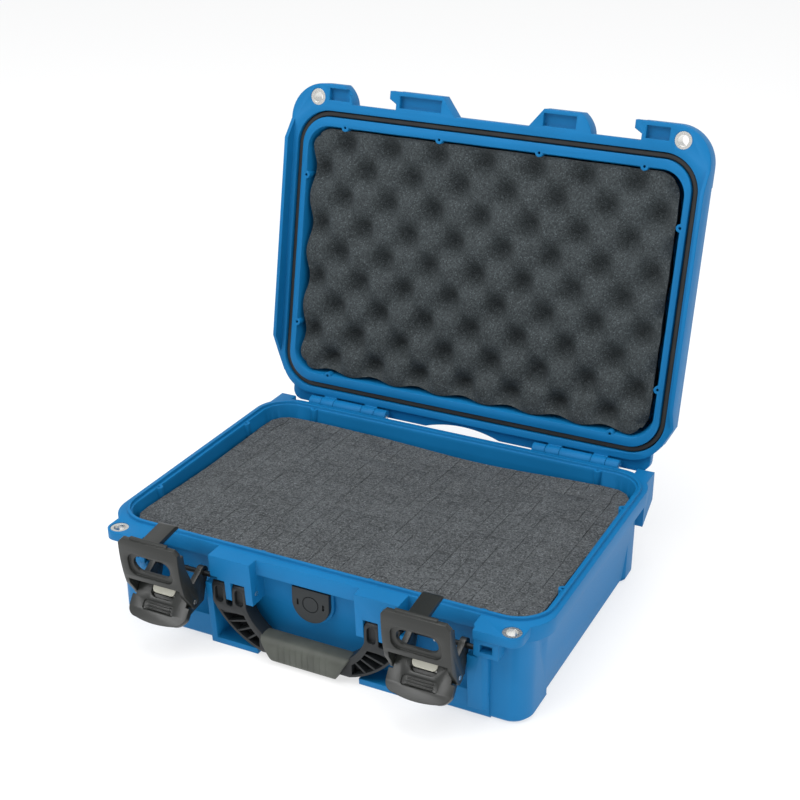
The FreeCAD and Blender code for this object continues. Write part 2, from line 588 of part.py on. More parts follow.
def boss_circles(radius, half_width, half_depth):
    """Panel screw bosses round an opening: three on each side wall, four at the front, two behind."""
    circles = []
    for side in ("", "-"):
        for along in ("boss_side_spread", "-boss_side_spread"):
            circles.append(("%s(%s)" % (side, half_width), along, radius))
        circles.append(("%sboss_spread" % side, "-(%s)" % half_depth, radius))
        circles.append(("%sboss_inner_spread" % side, "-(%s)" % half_depth, radius))
        circles.append(("%sboss_spread" % side, half_depth, radius))
    return circles


def valve_outline(grow):
    """The valve cap's shield shape in X and Z, grown by an amount: square top, round bottom."""
    half = "valve_half + %s" % grow
    top = "valve_top + %s" % grow
    low = "valve_top - valve_height + valve_half"
    return [("-(%s)" % half, low, half, 1), ("0", "%s - (%s)" % (low, half), half, 1), (half, low),
            (half, top), ("-(%s)" % half, top)]


def shell_lid():
    """Upper half, drawn shut: drafted tray, flange with seal groove, front blocks, skirts and knuckles."""
    body = new_body("lid_shell")
    low = rounded("lid_mouth_half_width + wall_thickness", "lid_mouth_half_depth + wall_thickness",
                  "lid_mouth_half_depth + wall_thickness", "(lid_mouth_corner + wall_thickness)")
    pad(body, sketch(body, "tray", "XY_Plane", LID_LOW, [low]), "lid_height - parting_gap", taper="-" + LID_TAPER)
    crown = number("parting_height + lid_height") - 0.01
    round_edges(body, "lid_top_round", lambda edge: edge.BoundBox.ZMin > crown)
    pad(body, sketch(body, "flange", "XY_Plane", LID_LOW,
                     [rounded("flange_half_width", "flange_front", "flange_back", "flange_corner")]),
        "lid_flange_thickness")
    pad(body, sketch(body, "blocks", "XY_Plane", LID_LOW, front_blocks()), "lid_block_thickness")
    lip_end, lip_start = "lip_half + lip_round", "flange_back - flange_corner"
    lip = [("-(%s)" % lip_end, lip_start), (lip_end, lip_start), (lip_end, "lip_back - lip_round", "lip_round", 1),
           ("lip_half", "lip_back"), ("arch_half", "lip_back", "arch_round", -1), ("-arch_half", "lip_back"),
           ("-lip_half", "lip_back", "lip_round", 1), ("-(%s)" % lip_end, "lip_back - lip_round")]
    pad(body, sketch(body, "lip", "XY_Plane", LID_LOW + " + lip_rise", [lip]), "lid_flange_thickness - lip_rise")
    rail = [[("seal_half_width", "-skirt_front"), ("skirt_half_width", "-skirt_front"),
             ("skirt_half_width", "skirt_back"), ("flange_half_width - skirt_thickness", "skirt_back + skirt_fade"),
             ("seal_half_width - skirt_thickness", "skirt_back")]]
    skirt = [("-skirt_front", LID_LOW), ("-skirt_front + skirt_fade", "parting_height - skirt_drop"),
             ("skirt_back - skirt_fade", "parting_height - skirt_drop"), ("skirt_back", LID_LOW),
             ("skirt_back", LID_LOW + " + lid_flange_thickness"), ("-skirt_front", LID_LOW + " + lid_flange_thickness")]
    knuckle = [("hinge_back - knuckle_radius", "hinge_height", "knuckle_radius", 1),
               ("hinge_back", "hinge_height - knuckle_radius", "knuckle_radius", 1),
               ("hinge_back + knuckle_radius", "hinge_height"),
               ("lid_mouth_half_depth", LID_LOW + " + lid_flange_thickness + knuckle_radius"),
               ("lid_mouth_half_depth", LID_LOW), ("hinge_back - knuckle_radius", LID_LOW)]
    sides = [
        pad(body, sketch(body, "rail", "XY_Plane", LID_LOW, rail), "lid_flange_thickness"),
        rib(body, "skirt", skirt, "skirt_half_width - skirt_thickness", "skirt_thickness"),
        rib(body, "knuckle_inner", knuckle, "hinge_inner + running_clearance", "lid_knuckle - running_clearance * 2"),
        rib(body, "knuckle_outer", knuckle, "hinge_outer - lid_knuckle + running_clearance",
            "lid_knuckle - running_clearance * 2"),
    ]
    mirror(body, sides)
    mouth = rounded("lid_mouth_half_width", "lid_mouth_half_depth", "lid_mouth_half_depth", "lid_mouth_corner")
    pocket(body, sketch(body, "room", "XY_Plane", LID_LOW, [mouth]),
           "lid_height - parting_gap - wall_thickness", True, "-" + LID_TAPER)
    pocket(body, sketch(body, "groove", "XY_Plane", LID_LOW, [seal_ring("groove_width / 2"),
                                                              seal_ring("-groove_width / 2")]), "groove_depth", True)
    pad(body, sketch(body, "bosses", "XY_Plane", LID_LOW, (), boss_circles(
        "boss_radius", "lid_mouth_half_width", "lid_mouth_half_depth")), "boss_height")
    pocket(body, sketch(body, "pilots", "XY_Plane", LID_LOW, (), boss_circles(
        "boss_pilot / 2", "lid_mouth_half_width", "lid_mouth_half_depth")), "boss_height", True)
    cuts = []
    for side, sign in BOTH_SIDES:
        centre = sign + "latch_offset"
        cuts.append(box(centre + " - notch_half", "-lid_block_front", centre + " + notch_half",
                        "-(lid_mouth_half_depth + wall_thickness + running_clearance)"))
    pocket(body, sketch(body, "ledges", "XY_Plane", "parting_height + lid_block_thickness + parting_gap", cuts),
           "lid_block_thickness + parting_gap - lid_ledge")
    pocket(body, sketch(body, "block_hollows", "XY_Plane", LID_LOW, block_hollows()), "block_hollow", True)
    eyelets = [
        pocket(body, sketch(body, "eyelet_bore", "XY_Plane", LID_LOW, (), [
            ("eyelet_offset", "-eyelet_front", "eyelet_bore / 2 + eyelet_wall + seat_clearance")]),
            "lid_block_thickness", True),
        pocket(body, sketch(body, "eyelet_seat", "XY_Plane", LID_LOW, (), [
            ("eyelet_offset", "-eyelet_front", "eyelet_bore / 2 + eyelet_wall + eyelet_rim + seat_clearance")]),
            "eyelet_rim_thickness + running_clearance", True),
        pocket(body, sketch(body, "hinge_bore", "YZ_Plane", "hinge_inner", (), [
            ("hinge_back", "hinge_height", "hinge_pin / 2 + running_clearance")]),
            "hinge_outer - hinge_inner", True),
    ]
    mirror(body, eyelets)
    inset = "lid_mouth_half_%s + wall_thickness - lid_draft - panel_inset"
    pocket(body, sketch(body, "panel", "XY_Plane", "parting_height + lid_height", [
        rounded(inset % "width", inset % "depth", inset % "depth", "lid_mouth_corner / 2")]), "panel_depth")
    swing_lid(body)


def front_blocks():
    """Blocks along the lid's front edge, with a latch notch between each pair."""
    wide, reach, back = "skirt_half_width", "-lid_block_front", "-lid_mouth_half_depth"
    blocks = []
    for side, sign in BOTH_SIDES:
        centre = sign + "latch_offset"
        slanted = [(centre + " - notch_half - notch_lean", reach, "notch_end_round", 1),
                   (centre + " - notch_half", "-notch_back"), (centre + " - notch_half", back)]
        nose = [(centre + " + notch_half", back), (centre + " + notch_half", "-notch_back - notch_nose"),
                (centre + " + notch_half - notch_nose", "-notch_back - notch_nose * 1.6"),
                (centre + " + notch_half - notch_nose", reach)]
        if side == "left":
            blocks.append([("-" + wide, "flange_corner - flange_front"),
                           ("-" + wide, reach + " + lid_ear_corner", "lid_ear_corner", 1),
                           ("-" + wide + " + lid_ear_corner", reach)] + slanted)
            blocks.append(nose + [("-block_inner", reach), ("-block_inner + block_slope", "-flange_front"),
                                  ("-block_inner + block_slope", back)])
        else:
            blocks.append([("block_inner - block_slope", back), ("block_inner - block_slope", "-flange_front"),
                           ("block_inner", reach)] + slanted)
            blocks.append(nose + [(wide + " - lid_ear_corner", reach, "lid_ear_corner", 1),
                                  (wide, reach + " + lid_ear_corner"), (wide, "flange_corner - flange_front")])
    return blocks


def block_hollows():
    """Hollows in the lower faces of the front blocks."""
    low, high = "-lid_block_front + wall_thickness", "-flange_front - block_rim"
    ear = "eyelet_offset - ear_radius - block_rim"
    return [box("-(%s)" % ear, low, "-latch_offset - notch_half - notch_lean * 0.3", high),
            box("-latch_offset + notch_half + wall_thickness", low, "-block_inner", high),
            box("block_inner", low, "latch_offset - notch_half - notch_lean - wall_thickness", high),
            box("latch_offset + notch_half + wall_thickness", low, ear, high)]


def seal():
    """Sealing ring at the bottom of the lid's groove."""
    body = new_body("lid_gasket")
    face = "parting_height + ridge_height + seal_gap"
    pad(body, sketch(body, "ring", "XY_Plane", face, [seal_ring("seal_width / 2"), seal_ring("-seal_width / 2")]),
        LID_LOW + " + groove_depth - (%s)" % face)
    level = number(face) + 0.01
    round_edges(body, "seal_round", lambda edge: edge.BoundBox.ZMax < level)
    swing_lid(body)


def foam_block(label, low, height, taper=None):
    """Foam block with rounded corners that stands inside the base."""
    body = new_body(label)
    pad(body, sketch(body, "block", "XY_Plane", low, [rounded(WALL_INSIDE_X + " - foam_gap", WALL_INSIDE + " - foam_gap",
                                                             WALL_INSIDE + " - foam_gap", "foam_corner")]), height,
        taper=taper)


def foam_lid():
    """Convoluted foam in the lid: a block with staggered rows of valleys."""
    body = new_body("lid_foam")
    half_x = "lid_mouth_half_width - foam_inset"
    half_y = "lid_mouth_half_depth - foam_inset"
    face = LID_LOW + " + lid_foam_rise"
    pad(body, sketch(body, "block", "XY_Plane", face, [rounded(half_x, half_y, half_y, "foam_corner")]),
        "lid_height - parting_gap - wall_thickness - lid_foam_rise", taper="-" + LID_TAPER)
    room_x = number(half_x + " - dimple_mouth")
    room_y = number(half_y + " - dimple_mouth")
    pitch, row = number("dimple_pitch"), number("dimple_row")
    circles = []
    for line in range(-int(room_y / row), int(room_y / row) + 1):
        shift = 0 if line % 2 else 1
        for step in range(-int(room_x / pitch * 2), int(room_x / pitch * 2) + 1):
            if (step + shift) % 2 == 0:
                circles.append(("dimple_pitch * %d / 2" % step if step else "0",
                                "dimple_row * %d" % line if line else "0", "dimple_mouth"))
    pocket(body, sketch(body, "valleys", "XY_Plane", face, (), circles), "dimple_depth", True,
           "-atan((dimple_mouth - dimple_floor) / dimple_depth)")
    swing_lid(body)


def eyelet(label, sign, rim_low, tube_low, tube_length, open_lid):
    """Steel eyelet of a padlock hole: a tube with a rim at one end."""
    body = new_body(label)
    spot = (sign + "eyelet_offset", "-eyelet_front")
    tube = "eyelet_bore / 2 + eyelet_wall"
    pad(body, sketch(body, "tube", "XY_Plane", tube_low, (), [spot + (tube,), spot + ("eyelet_bore / 2",)]), tube_length)
    pad(body, sketch(body, "rim", "XY_Plane", rim_low, (), [spot + (tube + " + eyelet_rim",),
                                                           spot + ("eyelet_bore / 2",)]), "eyelet_rim_thickness")
    if open_lid:
        swing_lid(body)


def pin(label, diameter, start, length, x, y, z):
    """Round pin along X, from start to start plus length, about a point."""
    body = new_body(label)
    pad(body, sketch(body, "round", "YZ_Plane", start, (), [("0", "0", diameter + " / 2")]), length)
    place(body, x, y, z)


PIN_OUT = "link_reach * sin(link_angle)"
PIN_DOWN = "link_reach * cos(link_angle)"
OPEN_PIN_Y = "-axle_front - link_reach * sin(link_angle + lever_open)"
OPEN_PIN_Z = "axle_height - link_reach * cos(link_angle + lever_open)"


def lever(side, sign):
    """Latch lever about its axle, drawn shut: two arms down to the claw pin and a flared finger tab."""
    body = new_body("latch_lever_" + side)
    out, down = "-(%s)" % PIN_OUT, "-(%s)" % PIN_DOWN
    face = out + " - lever_boss"
    inside = face + " + tab_thickness"
    arm = [("lever_boss", "0", "lever_boss", 1), ("0", "lever_boss", "lever_boss", 1), ("-lever_boss", "0"),
           (face, down + " + lock_rise"), (face, "-tab_length + tab_round"), (inside, "-tab_length + tab_round"),
           ("lever_heel", "-lever_heel_drop")]
    for start in ("-lever_half", "lever_half - lever_arm"):
        rib(body, "arm", arm, start, "lever_arm")
    tab_top = down + " - claw_boss - claw_bulge / 2"
    yoke_top = down + " + lock_rise + lock_travel"
    rib(body, "yoke", [(face, tab_top), (inside, tab_top), (inside, yoke_top), (face, yoke_top)],
        "-lever_half", "lever_half * 2")
    bend = "-tab_length + tab_thickness * 2"
    tab = [(face, tab_top), (face, bend), (face + " - tab_flare", "-tab_length"),
           (face + " - tab_flare + tab_thickness * 0.7", "-tab_length - tab_thickness * 0.3"), (inside, bend),
           (inside, tab_top)]
    rib(body, "tab", tab, "-tab_half", "tab_half * 2")
    low = "-tab_length + tab_flare"
    corners = [("tab_half + tab_round", "-tab_length - tab_round"), ("tab_half + tab_round", tab_top),
               ("tab_half", tab_top), ("tab_half", low + " + tab_round", "tab_round", -1),
               ("tab_half - tab_round", low, "tab_bow", -1), ("-tab_half + tab_round", low, "tab_round", -1),
               ("-tab_half", low + " + tab_round"), ("-tab_half", tab_top), ("-tab_half - tab_round", tab_top),
               ("-tab_half - tab_round", "-tab_length - tab_round")]
    pocket(body, sketch(body, "tab_corners", "XZ_Plane", "-lever_boss", [corners]), "axle_front", True)
    panel_low, panel_high = "(%s - tab_panel)" % bend, "(%s - tab_panel)" % tab_top
    pocket(body, sketch(body, "panel", "XZ_Plane", "-(%s)" % face, [
        slot("-lock_half - lock_corner", panel_low, "lock_half + lock_corner", panel_high, "(lock_corner - tab_panel)")]),
        "tab_panel")
    ridges = []
    for step in (1, 2, 3):
        level = "%s + (%s - %s) * %d / 4" % (panel_low, panel_high, panel_low, step)
        ridges.append(box("-lock_half", level + " - tab_panel / 3", "lock_half", level + " + tab_panel / 3"))
    pad(body, sketch(body, "ridges", "XZ_Plane", "-(%s) - tab_panel * 1.5" % face, ridges), "tab_panel * 1.5")
    recess = rounded("lock_half + running_clearance",
                     "-(%s + lock_rise - lock_height - lock_travel - running_clearance)" % down,
                     down + " + lock_rise + running_clearance", "lock_corner")
    pocket(body, sketch(body, "lock_recess", "XZ_Plane", "-(%s)" % face, [recess]), "lock_thickness")
    for name, y, z, diameter in (("axle_bore", "0", "0", "axle_diameter"), ("pin_bore", out, down, "claw_pin")):
        pocket(body, sketch(body, name, "YZ_Plane", "-lever_half", (), [
            (y, z, diameter + " / 2 + running_clearance")]), "lever_half * 2", True)
    place(body, sign + "latch_offset", "-axle_front", "axle_height", "-lever_open")


def slide_lock(side, sign):
    """Slide lock in the lever's tab, about the lever's axle."""
    body = new_body("slide_lock_" + side)
    down = "-(%s)" % PIN_DOWN
    face = PIN_OUT + " + lever_boss"
    button = rounded("lock_half", "-(%s + lock_rise - lock_height)" % down, down + " + lock_rise",
                     "lock_corner - running_clearance")
    pad(body, sketch(body, "button", "XZ_Plane", face + " - lock_thickness + running_clearance", [button]), "lock_thickness")
    crown = -number(face) + number("-running_clearance") + 0.01
    round_edges(body, "lock_round", lambda edge: edge.BoundBox.YMax < crown)
    place(body, sign + "latch_offset", "-axle_front", "axle_height", "-lever_open")


def claw(side, sign):
    """Latch claw about its pin, drawn shut: bowed plate with a window, two cheeks and a hook on top."""
    body = new_body("latch_claw_" + side)
    hook_low = "(parting_height + lid_ledge + running_clearance - axle_height + %s)" % PIN_DOWN
    top = hook_low + " + claw_lip_thickness"
    plate_low = "claw_skirt"
    span = "(%s - %s)" % (top, plate_low)
    bow = "(%s * %s / 8 / claw_bulge + claw_bulge / 2)" % (span, span)
    plate = [("-claw_reach", plate_low), ("-claw_reach + claw_plate", plate_low),
             ("-claw_reach + claw_plate", top), ("-claw_reach", top, bow, 1)]
    rib(body, "plate", plate, "-claw_half", "claw_half * 2")
    throat = "(-claw_reach + claw_throat)"
    cheek = [("0", "-claw_boss", "claw_boss", 1), ("claw_boss", "0"), (throat, hook_low + " - lid_block_thickness"),
             (throat, top), ("-claw_reach", top), ("-claw_reach", plate_low), ("-claw_boss", "0", "claw_boss", 1)]
    for start in ("-claw_half", "claw_half - claw_cheek"):
        rib(body, "cheek", cheek, start, "claw_cheek")
    hook = [("-claw_reach", hook_low), ("-claw_reach + claw_lip", hook_low),
            ("-claw_reach + claw_lip", hook_low + " + claw_lip_thickness / 2"),
            ("-claw_reach + claw_lip - claw_lip_thickness", top), ("-claw_reach", top)]
    rib(body, "hook", hook, "-claw_lip_half", "claw_lip_half * 2")
    bar = [("-claw_reach + claw_plate / 3", top + " - claw_bulge"), ("-claw_reach + claw_plate", top + " - claw_bulge"),
           ("-claw_reach + claw_plate", top + " + claw_bulge"), ("-claw_reach + claw_plate / 3", top + " + claw_bulge")]
    rib(body, "bar", bar, "-window_half", "window_half * 2")
    frame = rounded("window_half + claw_cheek", "-(window_rise - window_height / 2 - claw_cheek)",
                    "window_rise + window_height / 2 + claw_cheek", "(window_height / 2)")
    pocket(body, sketch(body, "frame", "XZ_Plane", "claw_reach + claw_bulge", [frame]), "claw_bulge + claw_plate / 4")
    window = rounded("window_half", "-(window_rise - window_height / 2)", "window_rise + window_height / 2",
                     "(window_height / 2 - seat_clearance)")
    pocket(body, sketch(body, "window", "XZ_Plane", "0", [window]), "claw_reach + claw_plate", True)
    pocket(body, sketch(body, "pin_bore", "YZ_Plane", "-claw_half", (), [
        ("0", "0", "claw_pin / 2 + running_clearance")]), "claw_half * 2", True)
    place(body, sign + "latch_offset", OPEN_PIN_Y, OPEN_PIN_Z, "claw_tilt")


def arc_leaving(start, heading, end):
    """The arc that leaves start along heading and reaches end."""
    chord = end - start
    along = FreeCAD.Vector(chord).normalize()
    bend = heading.getAngle(chord)
    if bend < 1e-6:
        return Part.LineSegment(start, end)
    aside = (heading - along * heading.dot(along)).normalize()
    crown = (start + end) * 0.5 + aside * (chord.Length / 2 * math.tan(bend / 2))
    return Part.Arc(start, crown, end)


def biarc(start, heading, end, final_heading):
    """Two arcs from start to end that leave and arrive along the two headings."""
    gap = end - start
    both = heading + final_heading
    spread = 2 * (1 - heading.dot(final_heading))
    dot = gap.dot(both)
    reach = (-dot + (dot * dot + spread * gap.dot(gap)) ** 0.5) / spread
    joint = (start + heading * reach + end - final_heading * reach) * 0.5
    first = arc_leaving(start, heading, joint)
    back = arc_leaving(end, final_heading * -1, joint)
    second = Part.Arc(end, back.value((back.FirstParameter + back.LastParameter) / 2), joint)
    return [first.toShape(), second.toShape()]


def spring(side, sign):
    """Torsion spring round the latch axle: one wire, with a leg at each end."""
    radius, pitch = number("(axle_diameter + spring_wire) / 2 + spring_gap"), number("spring_pitch")
    quarters = SPRING_TURNS * 4 + 1
    points, headings = [], []
    for quarter in range(quarters + 1):
        angle = math.pi + quarter * math.pi / 2
        points.append(FreeCAD.Vector((quarter / 4 - quarters / 8) * pitch, radius * math.cos(angle), radius * math.sin(angle)))
        headings.append(FreeCAD.Vector(pitch / (2 * math.pi), -radius * math.sin(angle), radius * math.cos(angle)).normalize())
    leg = number("spring_leg")
    edges = [Part.LineSegment(points[0] - headings[0] * leg, points[0]).toShape()]
    for quarter in range(quarters):
        edges += biarc(points[quarter], headings[quarter], points[quarter + 1], headings[quarter + 1])
    edges.append(Part.LineSegment(points[-1], points[-1] + headings[-1] * leg).toShape())
    path = Part.Wire(Part.__sortEdges__(edges))
    ring = Part.Circle(points[0] - headings[0] * leg, headings[0], number("spring_wire / 2"))
    feature = doc.addObject("Part::Feature", "latch_spring_" + side)
    feature.Shape = path.makePipeShell([Part.Wire(ring.toShape())], True, False)
    spots = path.discretize(Number=600)
    apart = path.Length / (len(spots) - 1)
    skip = int(math.pi * radius / apart)
    least = min(spots[one].distanceToPoint(spots[two]) for one in range(len(spots))
                for two in range(one + skip, len(spots)))
    print("spring gap to itself", round(least - number("spring_wire"), 2), "volume", round(feature.Shape.Volume, 2),
          "section times length", round(math.pi * number("spring_wire / 2") ** 2 * path.Length, 2))
    place(feature, sign + "latch_offset", "-axle_front", "axle_height")
    sub_parts.append(feature)


PRONG_INNER = "(pillar_inner + lug_thickness + running_clearance)"
PRONG_OUTER = "(pillar_outer - running_clearance)"
FINGER_LEFT = "((pillar_inner + lug_thickness + pillar_outer - finger_thickness) / 2 - running_clearance)"
FINGER_RIGHT = "((pillar_inner + lug_thickness + pillar_outer + finger_thickness) / 2 + running_clearance)"


FORK_ROUND = "((finger_thickness / 2 + running_clearance) * 1.15)"


def flipped(corners):
    """The same open run of corners on the other side of the middle, in the opposite order."""
    turned = [("-(%s)" % corner[0],) + tuple(corner[1:2]) for corner in reversed(corners)]
    for index, corner in enumerate(reversed(corners[:-1])):
        if len(corner) > 2:
            turned[index] = turned[index] + tuple(corner[2:])
    return turned


def handle():
    """Handle frame about its pivot: two forks, two curved arms with channels, and the bar for the grip."""
    body = new_body("handle_frame")
    low = "-handle_drop - core_height / 2"
    high = "-handle_drop + core_height / 2"
    outer = [("bar_half", low, "arm_round", 1), (PRONG_OUTER, "-fork_depth"), (PRONG_OUTER, "prong_radius"),
             (FINGER_RIGHT, "prong_radius"), (FINGER_RIGHT, "-fork_depth", FORK_ROUND, -1), (FINGER_LEFT, "-fork_depth"),
             (FINGER_LEFT, "prong_radius"), (PRONG_INNER, "prong_radius"), (PRONG_INNER, "-fork_depth", "arm_inner_round", -1),
             ("bar_half - core_height / 2", high)]
    outline = outer + flipped(outer)
    pad(body, sketch(body, "frame", "XZ_Plane", "-handle_depth / 2", [outline]), "handle_depth")
    top = number("prong_radius") - 0.01
    round_edges(body, "prong_radius - seat_clearance * 4", lambda edge: edge.BoundBox.ZMin > top and edge.BoundBox.XLength > 2
                and abs(edge.BoundBox.Center.y) > 1)
    channels = []
    for start, end in ((PRONG_INNER, FINGER_LEFT), (FINGER_RIGHT, PRONG_OUTER)):
        channels.append(slot(start + " + channel_wall", "-fork_depth", end + " - channel_wall", "handle_pin / 2",
                             "channel_wall * 1.6"))
    grooves = [pocket(body, sketch(body, "channels", "XZ_Plane", "handle_depth / 2", channels), "channel_depth")]
    brink = "-fork_depth - finger_thickness / 2 - channel_wall * 2"
    arm = [("bar_half + channel_wall", low + " + channel_wall", "arm_round", 1), (PRONG_OUTER + " - channel_wall", brink),
           (PRONG_INNER + " + channel_wall", brink, "arm_inner_round", -1),
           ("bar_half + channel_wall", high + " - channel_wall / 2")]
    grooves.append(pocket(body, sketch(body, "arm_channel", "XZ_Plane", "handle_depth / 2", [arm]), "arm_channel"))
    grooves.append(pocket(body, sketch(body, "pin_bore", "YZ_Plane", PRONG_INNER, (), [
        ("0", "0", "handle_pin / 2 + running_clearance")]), "pillar_outer - pillar_inner", True))
    mirror(body, grooves)
    place(body, "0", "-handle_front", "handle_height")


def grip():
    """Soft sleeve moulded round the handle's bar."""
    body = new_body("handle_grip")
    section = rounded("grip_depth / 2", "handle_drop + grip_height / 2", "-handle_drop + grip_height / 2", "grip_round")
    hollow = rounded("handle_depth / 2 + seat_clearance", "handle_drop + core_height / 2 + seat_clearance",
                     "-handle_drop + core_height / 2 + seat_clearance", "seat_clearance")
    pad(body, sketch(body, "sleeve", "YZ_Plane", "-grip_half", [section, hollow]), "grip_half * 2")
    place(body, "0", "-handle_front", "handle_height")


def valve():
    """Pressure valve: a shield-shaped cap on the front wall, and the membrane behind it."""
    body = new_body("valve_cap")
    pad(body, sketch(body, "cap", "XZ_Plane", "valve_seat + seat_clearance", [valve_outline("0")]), "valve_thickness")
    ring = "valve_top - valve_height / 2"
    pocket(body, sketch(body, "ring", "XZ_Plane", "valve_seat + valve_thickness + seat_clearance", (), [
        ("0", ring, "valve_bore"), ("0", ring, "valve_bore - valve_collar / 2")]), "valve_thickness / 4")
    body = new_body("valve_membrane")
    pad(body, sketch(body, "disc", "XZ_Plane", "valve_seat - valve_collar", (), [
        ("0", ring, "valve_bore / 2 - seat_clearance")]), "valve_collar")


def check_and_write():
    """Stop if anything failed, then write one STEP file for each sub-part."""
    doc.recompute()
    for item in doc.Objects:
        if "Invalid" in item.State or "Error" in item.State:
            raise RuntimeError("%s is in state %s" % (item.Name, item.State))
    os.makedirs("parts", exist_ok=True)
    for sub_part in sub_parts:
        shape = sub_part.Shape
        if shape.isNull() or not shape.isValid():
            raise RuntimeError("%s has no valid shape" % sub_part.Label)
        shape.exportStep(os.path.join("parts", sub_part.Label + ".step"))
        print(sub_part.Label, len(shape.Solids), round(shape.Volume / 1000, 2), "cm3")


shell_base()
foam_block("base_pad", "floor_thickness", "pad_thickness")
CUBE_HEIGHT = "(parting_height - foam_drop - floor_thickness - pad_thickness)"
foam_block("base_foam", "floor_thickness + pad_thickness", CUBE_HEIGHT, "atan(foam_lean / %s)" % CUBE_HEIGHT)
shell_lid()
seal()
foam_lid()
handle()
grip()
valve()
for side, sign in BOTH_SIDES:
    eyelet("base_eyelet_" + side, sign, "parting_height - eyelet_rim_thickness - running_clearance",
           "parting_height - ear_thickness", "ear_thickness - running_clearance", False)
    eyelet("lid_eyelet_" + side, sign, LID_LOW + " + running_clearance", LID_LOW + " + running_clearance",
           "lid_block_thickness - running_clearance", True)
    pin("hinge_pin_" + side, "hinge_pin", "-(hinge_outer - hinge_inner) / 2 - base_knuckle",
        "hinge_outer - hinge_inner + base_knuckle * 2", sign + "(hinge_inner + hinge_outer) / 2", "hinge_back",
        "hinge_height")
    inner_end = "pillar_outer - lug_thickness - latch_offset"
    if side == "left":
        inner_end = "latch_offset - column_inner - lug_thickness"
    pin("latch_axle_" + side, "axle_diameter", inner_end,
        "column_inner - pillar_outer + lug_thickness * 2", sign + "latch_offset", "-axle_front", "axle_height")
    pin("claw_pin_" + side, "claw_pin", "-claw_half", "claw_half * 2", sign + "latch_offset", OPEN_PIN_Y, OPEN_PIN_Z)
    pin("handle_pin_" + side, "handle_pin", "-(pillar_outer + outer_lug_thickness - pillar_inner) / 2",
        "pillar_outer + outer_lug_thickness - pillar_inner",
        sign + "(pillar_inner + pillar_outer + outer_lug_thickness) / 2", "-handle_front", "handle_height")
    lever(side, sign)
    slide_lock(side, sign)
    claw(side, sign)
    spring(side, sign)
check_and_write()
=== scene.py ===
"""Looks of an open hard case: moulded shells, claw latches, folding handle, seal and foam lining."""

import logging
import math
from dataclasses import dataclass, field
from enum import Enum
from typing import Callable, Dict, List, Optional, Sequence, Tuple, Union

import bmesh
import bpy
from mathutils import Matrix, Vector, noise


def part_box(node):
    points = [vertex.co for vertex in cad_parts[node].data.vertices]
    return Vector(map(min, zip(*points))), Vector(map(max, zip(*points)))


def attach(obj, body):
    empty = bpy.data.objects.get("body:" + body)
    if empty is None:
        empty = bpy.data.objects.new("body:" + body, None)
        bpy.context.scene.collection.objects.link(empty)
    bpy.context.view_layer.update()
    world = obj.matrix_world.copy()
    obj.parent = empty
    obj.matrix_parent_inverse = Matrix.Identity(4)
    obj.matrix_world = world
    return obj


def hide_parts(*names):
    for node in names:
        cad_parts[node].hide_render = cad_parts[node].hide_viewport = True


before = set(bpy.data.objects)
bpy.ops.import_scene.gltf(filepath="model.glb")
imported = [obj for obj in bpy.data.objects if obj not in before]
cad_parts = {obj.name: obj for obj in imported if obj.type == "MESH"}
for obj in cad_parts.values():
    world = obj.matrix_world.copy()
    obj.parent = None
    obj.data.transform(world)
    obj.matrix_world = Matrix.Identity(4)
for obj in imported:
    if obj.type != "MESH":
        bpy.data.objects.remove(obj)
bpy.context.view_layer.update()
LOG = logging.getLogger("hard_case")

MM = 0.001
LID_OPEN = math.radians(100.9)
HINGE = Vector((0.0, 0.1316, 0.0763))
HANDLE_PIVOT = Vector((0.0, -0.1265, 0.051))
HANDLE_PLACE = Matrix.Translation(HANDLE_PIVOT)
LID_TURN = Matrix.Translation(HINGE) @ Matrix.Rotation(-LID_OPEN, 4, "X") @ Matrix.Translation(-HINGE)
Colour = Tuple[float, float, float]
Value = Union["Wire", float]
Inputs = Dict[Union[str, int], object]


def srgb(red: int, green: int, blue: int) -> Colour:
    """Turn a display colour into scene light.

    Args:
        red: red from 0 to 255.
        green: green from 0 to 255.
        blue: blue from 0 to 255.

    Returns:
        The three values as linear light.
    """
    def line(level: int) -> float:
        """Undo the display curve of one channel."""
        share = level / 255
        return share / 12.92 if share <= 0.04045 else ((share + 0.055) / 1.055) ** 2.4

    return line(red), line(green), line(blue)


class Wire:
    """A number that runs through a node tree, with Python's operators as Math nodes."""

    def __init__(self, tree: "Tree", socket: bpy.types.NodeSocket) -> None:
        """Hold a socket of a tree."""
        self.tree = tree
        self.socket = socket

    def maths(self, operation: str, first: Value, second: Value = 0.0) -> "Wire":
        """Add a Math node.

        Args:
            operation: the Math node's operation.
            first: first number or wire.
            second: second number or wire.

        Returns:
            The node's result.
        """
        node = self.tree.node("ShaderNodeMath", {"operation": operation}, {0: first, 1: second})
        return Wire(self.tree, node.outputs[0])

    def __add__(self, other: Value) -> "Wire":
        """Sum."""
        return self.maths("ADD", self, other)

    __radd__ = __add__

    def __sub__(self, other: Value) -> "Wire":
        """Difference."""
        return self.maths("SUBTRACT", self, other)

    def __rsub__(self, other: Value) -> "Wire":
        """Difference from a plain number."""
        return self.maths("SUBTRACT", other, self)

    def __mul__(self, other: Value) -> "Wire":
        """Product."""
        return self.maths("MULTIPLY", self, other)

    def ramp(self, low: float, high: float) -> "Wire":
        """Rise smoothly from 0 to 1.

        Args:
            low: value that gives 0.
            high: value that gives 1.

        Returns:
            The smooth step.
        """
        node = self.tree.node("ShaderNodeMapRange", {"interpolation_type": "SMOOTHSTEP"},
                              {"Value": self, "From Min": low, "From Max": high})
        return Wire(self.tree, node.outputs["Result"])


